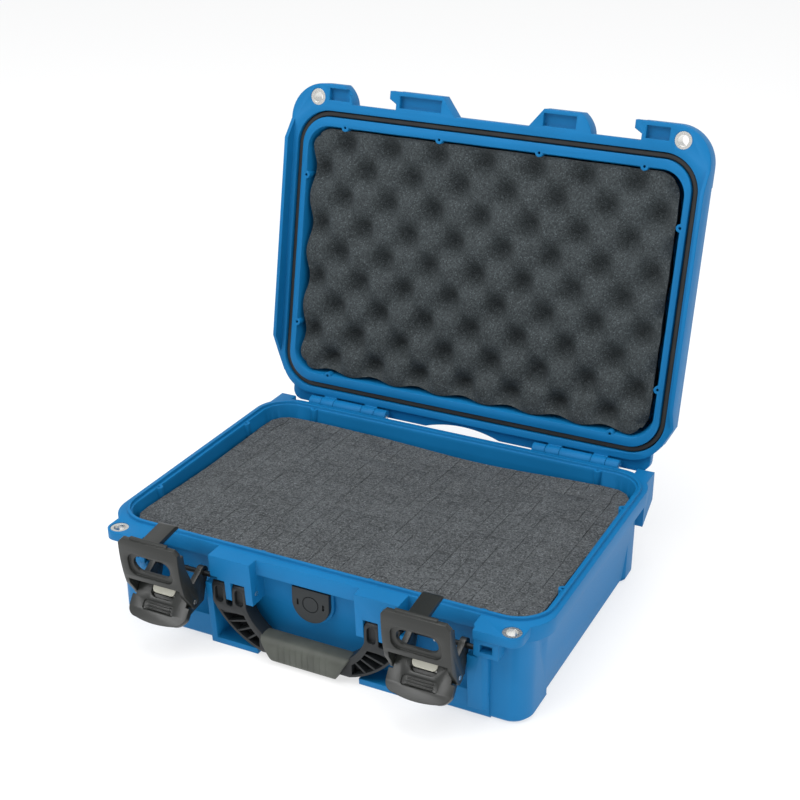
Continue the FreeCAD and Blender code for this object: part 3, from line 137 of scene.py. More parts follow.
class Tree:
    """The node tree of one material, with a Principled shader at its end.

    A Mix node has sockets for each kind of value under the same names, so its colour sockets go by number.
    """

    MIX_FIRST = 6
    MIX_SECOND = 7
    MIX_RESULT = 2

    def __init__(self, name: str) -> None:
        """Start a material with only its shader and output.

        Args:
            name: the material's name.
        """
        self.material = bpy.data.materials.new(name)
        self.material.use_nodes = True
        self.nodes = self.material.node_tree.nodes
        self.nodes.clear()
        self.links = self.material.node_tree.links
        self.shader = self.nodes.new("ShaderNodeBsdfPrincipled")
        self.output = self.nodes.new("ShaderNodeOutputMaterial")
        self.links.new(self.shader.outputs["BSDF"], self.output.inputs["Surface"])
        self.place = self.node("ShaderNodeTexCoord", {}, {}).outputs["Object"]

    def node(self, kind: str, settings: Dict[str, object], inputs: Inputs) -> bpy.types.Node:
        """Add a node.

        Args:
            kind: the node's type.
            settings: properties, set first.
            inputs: numbers, colours, wires or sockets by input name or number.

        Returns:
            The new node.
        """
        made = self.nodes.new(kind)
        for name, value in settings.items():
            setattr(made, name, value)
        for name, value in inputs.items():
            self.feed(made.inputs[name], value)
        return made

    def feed(self, socket: bpy.types.NodeSocket, value: object) -> None:
        """Set or link one input.

        Args:
            socket: the input.
            value: a number, colour, wire or output socket.
        """
        if isinstance(value, Wire):
            self.links.new(value.socket, socket)
        elif isinstance(value, bpy.types.NodeSocket):
            self.links.new(value, socket)
        elif socket.type == "RGBA":
            socket.default_value = (*value, 1.0)
        else:
            socket.default_value = value

    def grain(self, size: float, detail: float) -> Wire:
        """Soft noise over the piece.

        Args:
            size: size of a blotch in metres.
            detail: octaves of finer noise.

        Returns:
            Noise from 0 to 1.
        """
        made = self.node("ShaderNodeTexNoise", {},
                         {"Vector": self.place, "Scale": 1 / size, "Detail": detail})
        return Wire(self, made.outputs["Fac"])

    def cells(self, size: float, output: str = "Distance") -> Wire:
        """Cells over the piece.

        Args:
            size: size of a cell in metres.
            output: the Voronoi node's output.

        Returns:
            The wanted output as a number.
        """
        made = self.node("ShaderNodeTexVoronoi", {}, {"Vector": self.place, "Scale": 1 / size})
        return Wire(self, made.outputs[output])

    def mix(self, share: Value, first: object, second: object) -> bpy.types.NodeSocket:
        """Mix two colours.

        Args:
            share: share of the second colour.
            first: colour or socket.
            second: colour or socket.

        Returns:
            The mixed colour's socket.
        """
        made = self.node("ShaderNodeMix", {"data_type": "RGBA"},
                         {"Factor": share, self.MIX_FIRST: first, self.MIX_SECOND: second})
        return made.outputs[self.MIX_RESULT]

    def soft_edges(self, radius: float) -> bpy.types.NodeSocket:
        """Normals that round the edges.

        Args:
            radius: radius of the rounding in metres.

        Returns:
            The normal's socket.
        """
        return self.node("ShaderNodeBevel", {"samples": 6}, {"Radius": radius}).outputs["Normal"]

    def relief(self, height: Wire, depth: float, normal: Optional[bpy.types.NodeSocket] = None) -> None:
        """Feed a relief to the shader's normal.

        Args:
            height: the relief from 0 to 1.
            depth: its depth in metres.
            normal: the normal that it starts from.
        """
        inputs: Inputs = {"Height": height, "Distance": depth, "Strength": 1.0}
        if normal is not None:
            inputs["Normal"] = normal
        bump = self.node("ShaderNodeBump", {}, inputs)
        self.links.new(bump.outputs["Normal"], self.shader.inputs["Normal"])

    def set(self, **values: object) -> None:
        """Set or link inputs of the shader, with spaces written as underscores."""
        for name, value in values.items():
            self.feed(self.shader.inputs[name.replace("_", " ")], value)


@dataclass(frozen=True)
class MouldedResin:
    """Moulded resin with a fine spark-eroded grain, rounded edges and faint flow marks."""

    name: str
    colour: Colour
    gloss: float
    edge: float
    grain: float
    depth: float
    shine: float = 0.3
    drift: float = 0.05
    flow_size: float = 60 * MM
    flow_from: float = 0.3
    flow_full: float = 0.7
    flow_gloss: float = 0.1
    speck_gloss: float = 0.12

    def build(self) -> bpy.types.Material:
        """Make the material.

        Returns:
            The new material.
        """
        tree = Tree(self.name)
        flow = tree.grain(self.flow_size, detail=3.0)
        dark = tuple(level * (1 - self.drift) for level in self.colour)
        light = tuple(min(1.0, level * (1 + self.drift)) for level in self.colour)
        speck = tree.grain(self.grain, detail=1.0)
        tree.set(Base_Color=tree.mix(flow.ramp(self.flow_from, self.flow_full), dark, light),
                 Roughness=self.gloss + (speck - 0.5) * self.speck_gloss + (flow - 0.5) * self.flow_gloss)
        tree.set(Specular_IOR_Level=self.shine)
        tree.relief(speck, self.depth, tree.soft_edges(self.edge))
        return tree.material


@dataclass(frozen=True)
class OpenCellFoam:
    """Open-cell foam: tiny pores, painted glints of light on the cell walls and slow changes of tone."""

    name: str
    colour: Colour
    cell: float
    contrast: float
    depth: float
    wall_scale: float = 1.3
    spark_scale: float = 1.1
    spark_from: float = 0.74
    spark_full: float = 0.9
    spark_share: float = 0.6
    spark_gain: float = 2.6
    drift_size: float = 30 * MM
    drift_share: float = 0.3
    tone_from: float = 0.2
    tone_full: float = 0.8
    gloss: float = 0.95
    shine: float = 0.15

    def build(self) -> bpy.types.Material:
        """Make the material.

        Returns:
            The new material.
        """
        tree = Tree(self.name)
        pores = tree.cells(self.cell)
        wall = tree.cells(self.cell * self.wall_scale, "Color")
        # spark: mask of the cells that get a painted highlight
        spark = tree.cells(self.cell * self.spark_scale, "Color").ramp(self.spark_from, self.spark_full)
        drift = tree.grain(self.drift_size, detail=3.0)
        low = tuple(level * (1 - self.contrast) for level in self.colour)
        high = tuple(level * (1 + self.contrast) for level in self.colour)
        tone = wall * (1 - self.drift_share) + drift * self.drift_share
        body = tree.mix(tone.ramp(self.tone_from, self.tone_full), low, high)
        # glint: painted highlight, the light that cell walls catch, painted brighter into the base colour
        glint = tuple(min(1.0, level * self.spark_gain) for level in self.colour)
        tree.set(Base_Color=tree.mix(spark * self.spark_share, body, glint), Roughness=self.gloss)
        tree.set(Specular_IOR_Level=self.shine)
        tree.relief(1 - pores, self.depth)
        return tree.material


@dataclass(frozen=True)
class SoftRubber:
    """Matt rubber with a dusty bloom."""

    name: str
    colour: Colour
    gloss: float
    grain: float
    depth: float = 0.05 * MM
    edge: float = 0.6 * MM
    bloom_size: float = 20 * MM
    bloom_from: float = 0.35
    bloom_full: float = 0.75
    bloom_gain: float = 1.35
    bloom_lift: float = 0.004
    speck_gloss: float = 0.15

    def build(self) -> bpy.types.Material:
        """Make the material.

        Returns:
            The new material.
        """
        tree = Tree(self.name)
        bloom = tree.grain(self.bloom_size, detail=4.0)
        speck = tree.grain(self.grain, detail=2.0)
        pale = tuple(min(1.0, level * self.bloom_gain + self.bloom_lift) for level in self.colour)
        tree.set(Base_Color=tree.mix(bloom.ramp(self.bloom_from, self.bloom_full), self.colour, pale),
                 Roughness=self.gloss + (speck - 0.5) * self.speck_gloss)
        tree.relief(speck, self.depth, tree.soft_edges(self.edge))
        return tree.material


@dataclass(frozen=True)
class BrightSteel:
    """Drawn steel with fine scratches."""

    name: str
    colour: Colour
    gloss: float
    scratch_size: float = 0.6 * MM
    scratch_gloss: float = 0.2
    depth: float = 0.01 * MM
    edge: float = 0.4 * MM
    tarnish_size: float = 6 * MM
    tarnish_share: float = 0.8

    def build(self) -> bpy.types.Material:
        """Make the material.

        Returns:
            The new material.
        """
        tree = Tree(self.name)
        scratch = tree.grain(self.scratch_size, detail=3.0)
        tarnish = tree.grain(self.tarnish_size, detail=2.0)
        dull = tuple(level * self.tarnish_share for level in self.colour)
        tree.set(Base_Color=tree.mix(tarnish, dull, self.colour),
                 Roughness=self.gloss + (scratch - 0.5) * self.scratch_gloss)
        tree.set(Metallic=1.0)
        tree.relief(scratch, self.depth, tree.soft_edges(self.edge))
        return tree.material


class Finish(Enum):
    """The case's finishes."""

    SHELL = MouldedResin("blue_shell_resin", srgb(14, 101, 153), gloss=0.48, edge=0.9 * MM,
                         grain=0.7 * MM, depth=0.03 * MM, shine=0.13)
    LATCH = MouldedResin("grey_latch_resin", srgb(31, 33, 31), gloss=0.36, edge=0.7 * MM,
                         grain=0.6 * MM, depth=0.03 * MM, shine=0.45)
    DARK_STEEL = BrightSteel("blackened_steel", srgb(52, 54, 55), gloss=0.45)
    HANDLE = MouldedResin("black_handle_resin", srgb(29, 32, 34), gloss=0.4, edge=0.8 * MM,
                          grain=0.6 * MM, depth=0.03 * MM, shine=0.35)
    LOCK = MouldedResin("pale_lock_resin", srgb(176, 175, 163), gloss=0.45, edge=0.6 * MM,
                        grain=0.6 * MM, depth=0.02 * MM)
    VALVE = MouldedResin("black_valve_resin", srgb(36, 40, 42), gloss=0.45, edge=0.6 * MM,
                         grain=0.6 * MM, depth=0.03 * MM)
    GRIP = SoftRubber("grey_grip_rubber", srgb(60, 63, 57), gloss=0.62, grain=0.6 * MM)
    SEAL = SoftRubber("black_seal_rubber", srgb(22, 23, 22), gloss=0.6, grain=0.5 * MM)
    BASE_FOAM = OpenCellFoam("charcoal_cube_foam", srgb(76, 79, 81), cell=0.8 * MM, contrast=0.45,
                             depth=0.6 * MM)
    LID_FOAM = OpenCellFoam("charcoal_wave_foam", srgb(57, 62, 64), cell=0.8 * MM, contrast=0.3,
                            depth=0.5 * MM)
    STEEL = BrightSteel("bright_steel", srgb(232, 232, 228), gloss=0.26)


class Paint:
    """Makes each finish's material once and puts it on pieces."""

    def __init__(self) -> None:
        """Start with no material made."""
        self.made: Dict[Finish, bpy.types.Material] = {}

    def put(self, piece: bpy.types.Object, finish: Finish) -> None:
        """Give a piece one finish.

        Args:
            piece: the piece's object.
            finish: its finish.
        """
        if finish not in self.made:
            self.made[finish] = finish.value.build()
        piece.data.materials.clear()
        piece.data.materials.append(self.made[finish])


NODE_FINISHES: Dict[str, Finish] = {
    "base_shell": Finish.SHELL, "lid_shell": Finish.SHELL, "lid_gasket": Finish.SEAL,
    "handle_frame": Finish.HANDLE, "handle_grip": Finish.GRIP, "valve_cap": Finish.VALVE,
    "valve_membrane": Finish.SEAL, "latch_lever": Finish.LATCH, "latch_claw": Finish.LATCH,
    "slide_lock": Finish.LOCK, "hinge_pin": Finish.STEEL, "latch_axle": Finish.DARK_STEEL,
    "latch_spring": Finish.STEEL, "handle_pin": Finish.STEEL, "base_eyelet": Finish.STEEL,
    "lid_eyelet": Finish.STEEL, "claw_pin": Finish.STEEL,
    "base_foam": Finish.BASE_FOAM, "base_pad": Finish.BASE_FOAM, "lid_foam": Finish.LID_FOAM,
}


def finish_of(node: str) -> Finish:
    """The finish of a CAD node.

    Args:
        node: the node's name.

    Returns:
        Its finish.
    """
    for stem, finish in NODE_FINISHES.items():
        if node.startswith(stem):
            return finish
    raise KeyError(node)


def piece_from(mesh: bmesh.types.BMesh, name: str, body: str, smooth: float = 0.6) -> bpy.types.Object:
    """Turn a bmesh into a piece that rides on a body.

    Args:
        mesh: the bmesh, which is freed.
        name: the piece's name.
        body: the body that it rides on.
        smooth: edges sharper than this angle stay sharp.

    Returns:
        The new object.
    """
    for face in mesh.faces:
        face.smooth = True
    for edge in mesh.edges:
        edge.smooth = len(edge.link_faces) == 2 and edge.calc_face_angle(0.0) < smooth
    data = bpy.data.meshes.new(name)
    mesh.to_mesh(data)
    mesh.free()
    made = bpy.data.objects.new(name, data)
    bpy.context.scene.collection.objects.link(made)
    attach(made, body)
    LOG.info("piece %s on %s: %d faces", name, body, len(data.polygons))
    return made


def draw_in_corners(mesh: bmesh.types.BMesh, low: Vector, high: Vector, corner: float) -> None:
    """Draw the corners of a grid in to a radius.

    Args:
        mesh: the grid.
        low: lowest corner of the grid.
        high: highest corner of the grid.
        corner: the corner radius.
    """
    for vert in mesh.verts:
        near_x = min(vert.co.x - low.x, high.x - vert.co.x)
        near_y = min(vert.co.y - low.y, high.y - vert.co.y)
        if near_x < corner and near_y < corner:
            inward = Vector((corner - near_x, corner - near_y))
            square = max(inward.x, inward.y)
            share = square / inward.length if inward.length > 0 else 1.0
            side_x = 1 if vert.co.x > (low.x + high.x) / 2 else -1
            side_y = 1 if vert.co.y > (low.y + high.y) / 2 else -1
            vert.co.x += side_x * inward.x * (share - 1)
            vert.co.y += side_y * inward.y * (share - 1)


def foam_face(low: Vector, high: Vector, columns: int, rows: int, corner: float) -> bmesh.types.BMesh:
    """Lay the upper face of a foam block.

    Args:
        low: lowest corner of the block.
        high: highest corner of the block.
        columns: quads across.
        rows: quads from front to back.
        corner: radius of the upright corners.

    Returns:
        The face as a grid.
    """
    mesh = bmesh.new()
    bmesh.ops.create_grid(mesh, x_segments=columns, y_segments=rows, size=0.5)
    bmesh.ops.scale(mesh, vec=(high.x - low.x, high.y - low.y, 1), verts=mesh.verts)
    middle = ((low.x + high.x) / 2, (low.y + high.y) / 2, high.z)
    bmesh.ops.translate(mesh, vec=middle, verts=mesh.verts)
    draw_in_corners(mesh, low, high, corner)
    return mesh


def close_block(mesh: bmesh.types.BMesh, level: float, share_x: float = 1.0, share_y: float = 1.0) -> None:
    """Give a foam face its sides and its far face.

    Args:
        mesh: the face.
        level: height of the far face.
        share_x: width of the far face as a share of the face's.
        share_y: depth of the far face as a share of the face's.
    """
    walls = bmesh.ops.extrude_edge_only(mesh, edges=[edge for edge in mesh.edges if edge.is_boundary])
    for item in walls["geom"]:
        if isinstance(item, bmesh.types.BMVert):
            item.co.x *= share_x
            item.co.y *= share_y
            item.co.z = level
    bmesh.ops.contextual_create(mesh, geom=[edge for edge in mesh.edges if edge.is_boundary])
    bmesh.ops.recalc_face_normals(mesh, faces=mesh.faces)


def join_rings(mesh: bmesh.types.BMesh, rings: List[List[bmesh.types.BMVert]]) -> None:
    """Skin a row of rings and close both ends.

    Args:
        mesh: the mesh that the rings belong to.
        rings: rings with the same number of vertices.
    """
    for first, second in zip(rings, rings[1:]):
        for step in range(len(first)):
            mesh.faces.new((first[step - 1], second[step - 1], second[step], first[step]))
    mesh.faces.new(rings[0])
    mesh.faces.new(list(reversed(rings[-1])))


def cut_from(mesh: bmesh.types.BMesh, cutter: bmesh.types.BMesh) -> bmesh.types.BMesh:
    """Cut one closed shape out of another.

    Args:
        mesh: the shape that is cut, which is freed.
        cutter: the shape that is taken away, which is freed.

    Returns:
        What is left.
    """
    made = []
    for name, shape in (("blank", mesh), ("cutter", cutter)):
        data = bpy.data.meshes.new(name)
        shape.to_mesh(data)
        shape.free()
        made.append(bpy.data.objects.new(name, data))
        bpy.context.scene.collection.objects.link(made[-1])
    change = made[0].modifiers.new("cut", "BOOLEAN")
    change.operation = "DIFFERENCE"
    change.solver = "EXACT"
    change.use_self = True
    change.object = made[1]
    left = bmesh.new()
    left.from_object(made[0], bpy.context.evaluated_depsgraph_get())
    for blank in made:
        data = blank.data
        bpy.data.objects.remove(blank)
        bpy.data.meshes.remove(data)
    return left


def block(mesh: bmesh.types.BMesh, low: Sequence[float],
          high: Sequence[float]) -> List[bmesh.types.BMVert]:
    """Add a block to a mesh.

    Args:
        mesh: the mesh that it goes into.
        low: its lowest corner.
        high: its highest corner.

    Returns:
        Its vertices.
    """
    verts = bmesh.ops.create_cube(mesh, size=1.0)["verts"]
    first, last = Vector(low), Vector(high)
    bmesh.ops.scale(mesh, vec=last - first, verts=verts)
    bmesh.ops.translate(mesh, vec=(first + last) / 2, verts=verts)
    return verts


@dataclass
class RoundedCopy:
    """A copy of a moulded CAD solid with its sharp edges rounded."""

    node: str
    body: str
    radius: float
    sharp: float = 0.6
    weld: float = 0.002 * MM
    flat: float = 0.01
    cutter: Optional[Callable[[], bmesh.types.BMesh]] = None

    def build(self, paint: Paint, finish: Finish, slot: str) -> bpy.types.Object:
        """Make the copy and let it stand for the solid.

        Args:
            paint: puts on the finish.
            finish: the copy's finish.
            slot: the record's material slot; not used.

        Returns:
            The piece.
        """
        mesh = bmesh.new()
        mesh.from_mesh(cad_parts[self.node].data)
        bmesh.ops.remove_doubles(mesh, verts=mesh.verts, dist=self.weld)
        if self.cutter is not None:
            mesh = cut_from(mesh, self.cutter())
        bmesh.ops.dissolve_limit(mesh, angle_limit=self.flat, verts=mesh.verts, edges=mesh.edges)
        edges = [edge for edge in mesh.edges
                 if len(edge.link_faces) == 2 and edge.calc_face_angle(0.0) > self.sharp]
        bmesh.ops.bevel(mesh, geom=edges, offset=self.radius, offset_type="OFFSET", affect="EDGES",
                        segments=2, profile=0.5, material=-1, clamp_overlap=True)
        made = piece_from(mesh, self.node + "_rounded", self.body, smooth=0.7)
        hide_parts(self.node)
        paint.put(made, finish)
        return made


@dataclass(frozen=True)
class ClawTrim:
    """What is trimmed off a claw, about its pin.

    It is the room in front of the slide lock, the tops of the cheeks and the upper corners of the plate.
    """

    offset: float
    pin_front: float = -149.54 * MM
    pin_height: float = 46.06 * MM
    tilt: float = math.radians(8.0)
    half: float = 21.7 * MM
    front: float = -16 * MM
    back: float = -5 * MM
    low: float = 2 * MM
    high: float = 17.5 * MM
    edge: float = 25 * MM
    top: float = 52.44 * MM
    plate_back: float = -7.4 * MM
    cheek_back: float = -2 * MM
    cheek_drop: float = 7 * MM
    cheek_room: float = 2 * MM
    spare: float = 1 * MM
    corner: float = 2.3 * MM

    def build(self) -> bmesh.types.BMesh:
        """Make the shape that is cut away.

        Returns:
            The cutter.
        """
        mesh = bmesh.new()
        block(mesh, (-self.half, self.front, self.low), (self.half, self.back, self.high))
        for side in (-1, 1):
            left, right = sorted((side * (self.half - self.cheek_room), side * (self.edge + self.spare)))
            block(mesh, (left, self.plate_back, self.top - self.cheek_drop),
                  (right, self.cheek_back, self.top + self.spare))
            verts = block(mesh, (-self.corner, self.front, -self.corner),
                          (self.corner, self.back, self.corner))
            bmesh.ops.rotate(mesh, matrix=Matrix.Rotation(math.pi / 4, 3, "Y"), verts=verts)
            bmesh.ops.translate(mesh, vec=(side * self.edge, 0, self.top), verts=verts)
        place = Matrix.Translation((self.offset, self.pin_front, self.pin_height))
        bmesh.ops.transform(mesh, matrix=place @ Matrix.Rotation(self.tilt, 4, "X"), verts=mesh.verts)
        return mesh


@dataclass
class ValveCap:
    """Shield-shaped cap of the pressure valve, with a ring and two slits in its face."""

    ring: float = 6.6 * MM
    ring_width: float = 0.7 * MM
    ring_depth: float = 0.7 * MM
    slit_place: float = 10.4 * MM
    slit_half: float = 0.8 * MM
    slit_tall: float = 2.4 * MM
    edge: float = 0.8 * MM
    top_gap: float = 3.6 * MM
    arc_steps: int = 32
    ring_steps: int = 40
    sharp: float = 0.8

    def build(self, paint: Paint) -> bpy.types.Object:
        """Make the cap.

        Args:
            paint: puts on the finish.

        Returns:
            The piece.
        """
        low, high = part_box("valve_cap")
        half = (high.x - low.x) / 2
        level = low.z + half
        mesh = bmesh.new()
        top = high.z - self.top_gap
        outline = [mesh.verts.new((half, high.y, top)), mesh.verts.new((-half, high.y, top))]
        for step in range(self.arc_steps + 1):
            turn = math.pi + math.pi * step / self.arc_steps
            outline.append(mesh.verts.new((half * math.cos(turn), high.y, level + half * math.sin(turn))))
        face = mesh.faces.new(outline)
        front = bmesh.ops.extrude_face_region(mesh, geom=[face])["geom"]
        verts = [item for item in front if isinstance(item, bmesh.types.BMVert)]
        bmesh.ops.translate(mesh, vec=(0, low.y - high.y, 0), verts=verts)
        bmesh.ops.recalc_face_normals(mesh, faces=mesh.faces)
        mesh = cut_from(mesh, self.cutter(low, level))
        rim = [edge for edge in mesh.edges if edge.calc_face_angle(0.0) > self.sharp
               and all(vert.co.y < low.y + self.ring_depth / 4 for vert in edge.verts)
               and any(abs(vert.co.x) > self.slit_place + 2 * self.slit_half for vert in edge.verts)]
        bmesh.ops.bevel(mesh, geom=rim, offset=self.edge, offset_type="OFFSET", affect="EDGES", segments=3,
                        profile=0.5, material=-1, clamp_overlap=True)
        made = piece_from(mesh, "valve_cap_shield", "base", smooth=0.7)
        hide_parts("valve_cap")
        paint.put(made, Finish.VALVE)
        return made

    def cutter(self, low: Vector, level: float) -> bmesh.types.BMesh:
        """Make the ring's groove and the slits.

        Args:
            low: lowest corner of the cap.
            level: height of the ring's middle.

        Returns:
            The cutter.
        """
        mesh = bmesh.new()
        profile = []
        for radius, depth in ((0, -1), (1, -1), (1, 1), (0, 1)):
            spot = (self.ring - self.ring_width * radius, low.y + self.ring_depth * depth, level)
            profile.append(mesh.verts.new(spot))
        outline = [mesh.edges.new((profile[index - 1], profile[index])) for index in range(4)]
        bmesh.ops.spin(mesh, geom=profile + outline, cent=(0, low.y, level), axis=(0, 1, 0),
                       angle=2 * math.pi, steps=self.ring_steps, use_merge=True)
        bmesh.ops.recalc_face_normals(mesh, faces=mesh.faces)
        for side in (-1, 1):
            middle = side * self.slit_place
            block(mesh, (middle - self.slit_half, low.y - self.edge, level - self.slit_tall),
                  (middle + self.slit_half, low.y + 2 * self.ring_depth, level + self.slit_tall))
        return mesh


@dataclass
class GripSleeve:
    """Soft sleeve of the handle, with slanted ends and a row of finger grooves along its front."""

    high_half: float = 36.5 * MM
    low_half: float = 25.5 * MM
    half_depth: float = 9.2 * MM
    half_height: float = 10.2 * MM
    drop: float = 39.6 * MM
    proud: float = 1.6 * MM
    corner: float = 6.3 * MM
    grooves: int = 9
    groove_pitch: float = 4.9 * MM
    groove_depth: float = 0.55 * MM
    groove_half: float = 0.8 * MM
    groove_span: float = 0.85
    groove_fade: int = 4
    flatness: float = 3.0
    end_share: float = 0.03
    end_shrink: float = 0.08
    stations: int = 180
    around: int = 56

    def section(self) -> List[Vector]:
        """Points round the sleeve's section.

        Returns:
            The points in Y and Z about the sleeve's middle.
        """
        points = []
        inner_y = self.half_depth - self.corner
        inner_z = self.half_height - self.corner
        for step in range(self.around):
            turn = 2 * math.pi * step / self.around
            along = Vector((0, math.cos(turn), math.sin(turn)))
            side_y = max(-1.0, min(1.0, along.y * self.flatness))
            side_z = max(-1.0, min(1.0, along.z * self.flatness))
            points.append(along * self.corner + Vector((0, inner_y * side_y, inner_z * side_z)))
        return points

    def build(self, paint: Paint) -> bpy.types.Object:
        """Make the sleeve about the handle's bar.

        Args:
            paint: puts on the finish.

        Returns:
            The piece.
        """
        middle = Vector((0, -self.proud, -self.drop))
        mesh = bmesh.new()
        rings = []
        section = self.section()
        for station in range(self.stations + 1):
            share = 2 * station / self.stations - 1
            past = max(0.0, (abs(share) - 1 + self.end_share) / self.end_share)
            round_end = math.sqrt(max(0.0, 1 - past ** 2))
            ring = []
            for point in section:
                rise = (point.z / self.half_height + 1) / 2
                x = share * (self.low_half + (self.high_half - self.low_half) * rise)
                shrink = 1 - self.end_shrink * (1 - round_end) - self.groove(x, point) / self.half_depth
                ring.append(mesh.verts.new(middle + Vector((x, point.y * shrink, point.z * shrink))))
            rings.append(ring)
        join_rings(mesh, rings)
        bmesh.ops.recalc_face_normals(mesh, faces=mesh.faces)
        bmesh.ops.transform(mesh, matrix=HANDLE_PLACE, verts=mesh.verts)
        made = piece_from(mesh, "grip_sleeve", "handle", smooth=0.9)
        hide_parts("handle_grip")
        paint.put(made, Finish.GRIP)
        return made

    def groove(self, x: float, point: Vector) -> float:
        """Depth of the grooves at a point of the sleeve.

        Args:
            x: place along the sleeve.
            point: place on the section.

        Returns:
            How far the surface is drawn in.
        """
        reach = (self.grooves - 1) / 2 * self.groove_pitch
        if abs(x) > reach + self.groove_pitch / 2 or point.y > 0:
            return 0.0
        nearest = round((x + reach) / self.groove_pitch) * self.groove_pitch - reach
        share = max(0.0, 1 - abs(x - nearest) / self.groove_half)
        fade = max(0.0, 1 - (point.z / (self.half_height * self.groove_span)) ** self.groove_fade)
        return self.groove_depth * share * share * (3 - 2 * share) * fade


@dataclass(frozen=True)
class Arc:
    """An arc that turns left, in millimetres of X and Z about the handle's pivot."""

    start: Tuple[float, float]
    end: Tuple[float, float]
    radius: float

    def point(self, share: float) -> Vector:
        """A point along the arc.

        Args:
            share: share of the way along.

        Returns:
            The point.
        """
        start, end = Vector(self.start), Vector(self.end)
        chord = end - start
        left = Vector((-chord.y, chord.x)).normalized()
        rise = math.sqrt(self.radius * self.radius - chord.length_squared / 4)
        centre = (start + end) / 2 + left * rise
        first = math.atan2(start.y - centre.y, start.x - centre.x)
        turn = first + 2 * math.asin(chord.length / 2 / self.radius) * share
        return centre + Vector((math.cos(turn), math.sin(turn))) * self.radius


@dataclass
class ArmRibs:
    """Thin cross ribs inside the channels of the handle's arms, and the rim that closes them outside."""

    outer: Arc = Arc((36, -45), (76.1, -11.6), 66)
    inner: Arc = Arc((30, -33), (48.3, -11.6), 40)
    places: Tuple[float, ...] = (0.28, 0.46, 0.64, 0.82)
    rib_width: float = 1.5
    rib_seat: float = 1.2
    front: float = -5.2 * MM
    back: float = 1.2 * MM
    rim_front: float = -5.9 * MM
    rim_width: float = 2.0
    rim_steps: int = 24

    def build(self, paint: Paint) -> bpy.types.Object:
        """Make the ribs and the outer rims of both arms.

        Args:
            paint: puts on the finish.

        Returns:
            The piece.
        """
        mesh = bmesh.new()
        for side in (-1, 1):
            for share in self.places:
                self.rib(mesh, side, share)
            self.rim(mesh, side)
        bmesh.ops.recalc_face_normals(mesh, faces=mesh.faces)
        bmesh.ops.transform(mesh, matrix=HANDLE_PLACE, verts=mesh.verts)
        made = piece_from(mesh, "arm_ribs", "handle")
        paint.put(made, Finish.HANDLE)
        return made

    def rib(self, mesh: bmesh.types.BMesh, side: int, share: float) -> None:
        """Add one rib across an arm.

        Args:
            mesh: the mesh that it goes into.
            side: -1 for the left arm and 1 for the right.
            share: place along the arm, from the bar to the fork.
        """
        outer, inner = self.outer.point(share), self.inner.point(share)
        across = (outer - inner).normalized()
        aside = Vector((-across.y, across.x)) * (self.rib_width / 2)
        near, far = inner + across * self.rib_seat, outer - across * self.rib_seat
        corners = (near - aside, far - aside, far + aside, near + aside)
        join_rings(mesh, [[mesh.verts.new(self.spot(side, corner, depth)) for corner in corners]
                          for depth in (self.front, self.back)])

    def rim(self, mesh: bmesh.types.BMesh, side: int) -> None:
        """Add the outer rim of an arm.

        Args:
            mesh: the mesh that it goes into.
            side: -1 for the left arm and 1 for the right.
        """
        rings = []
        for step in range(self.rim_steps + 1):
            share = step / self.rim_steps
            outer, inner = self.outer.point(share), self.inner.point(share)
            edge = outer + (inner - outer).normalized() * self.rim_width
            rings.append([mesh.verts.new(self.spot(side, corner, depth)) for corner, depth in (
                (outer, self.rim_front), (edge, self.rim_front), (edge, self.back), (outer, self.back))])
        join_rings(mesh, rings)

    @staticmethod
    def spot(side: int, corner: Vector, depth: float) -> Vector:
        """A corner of a rib or rim about the handle's pivot.

        Args:
            side: -1 for the left arm and 1 for the right.
            corner: X and Z about the pivot in millimetres.
            depth: Y about the pivot in metres.

        Returns:
            The point.
        """
        return Vector((side * corner.x * MM, depth, corner.y * MM))


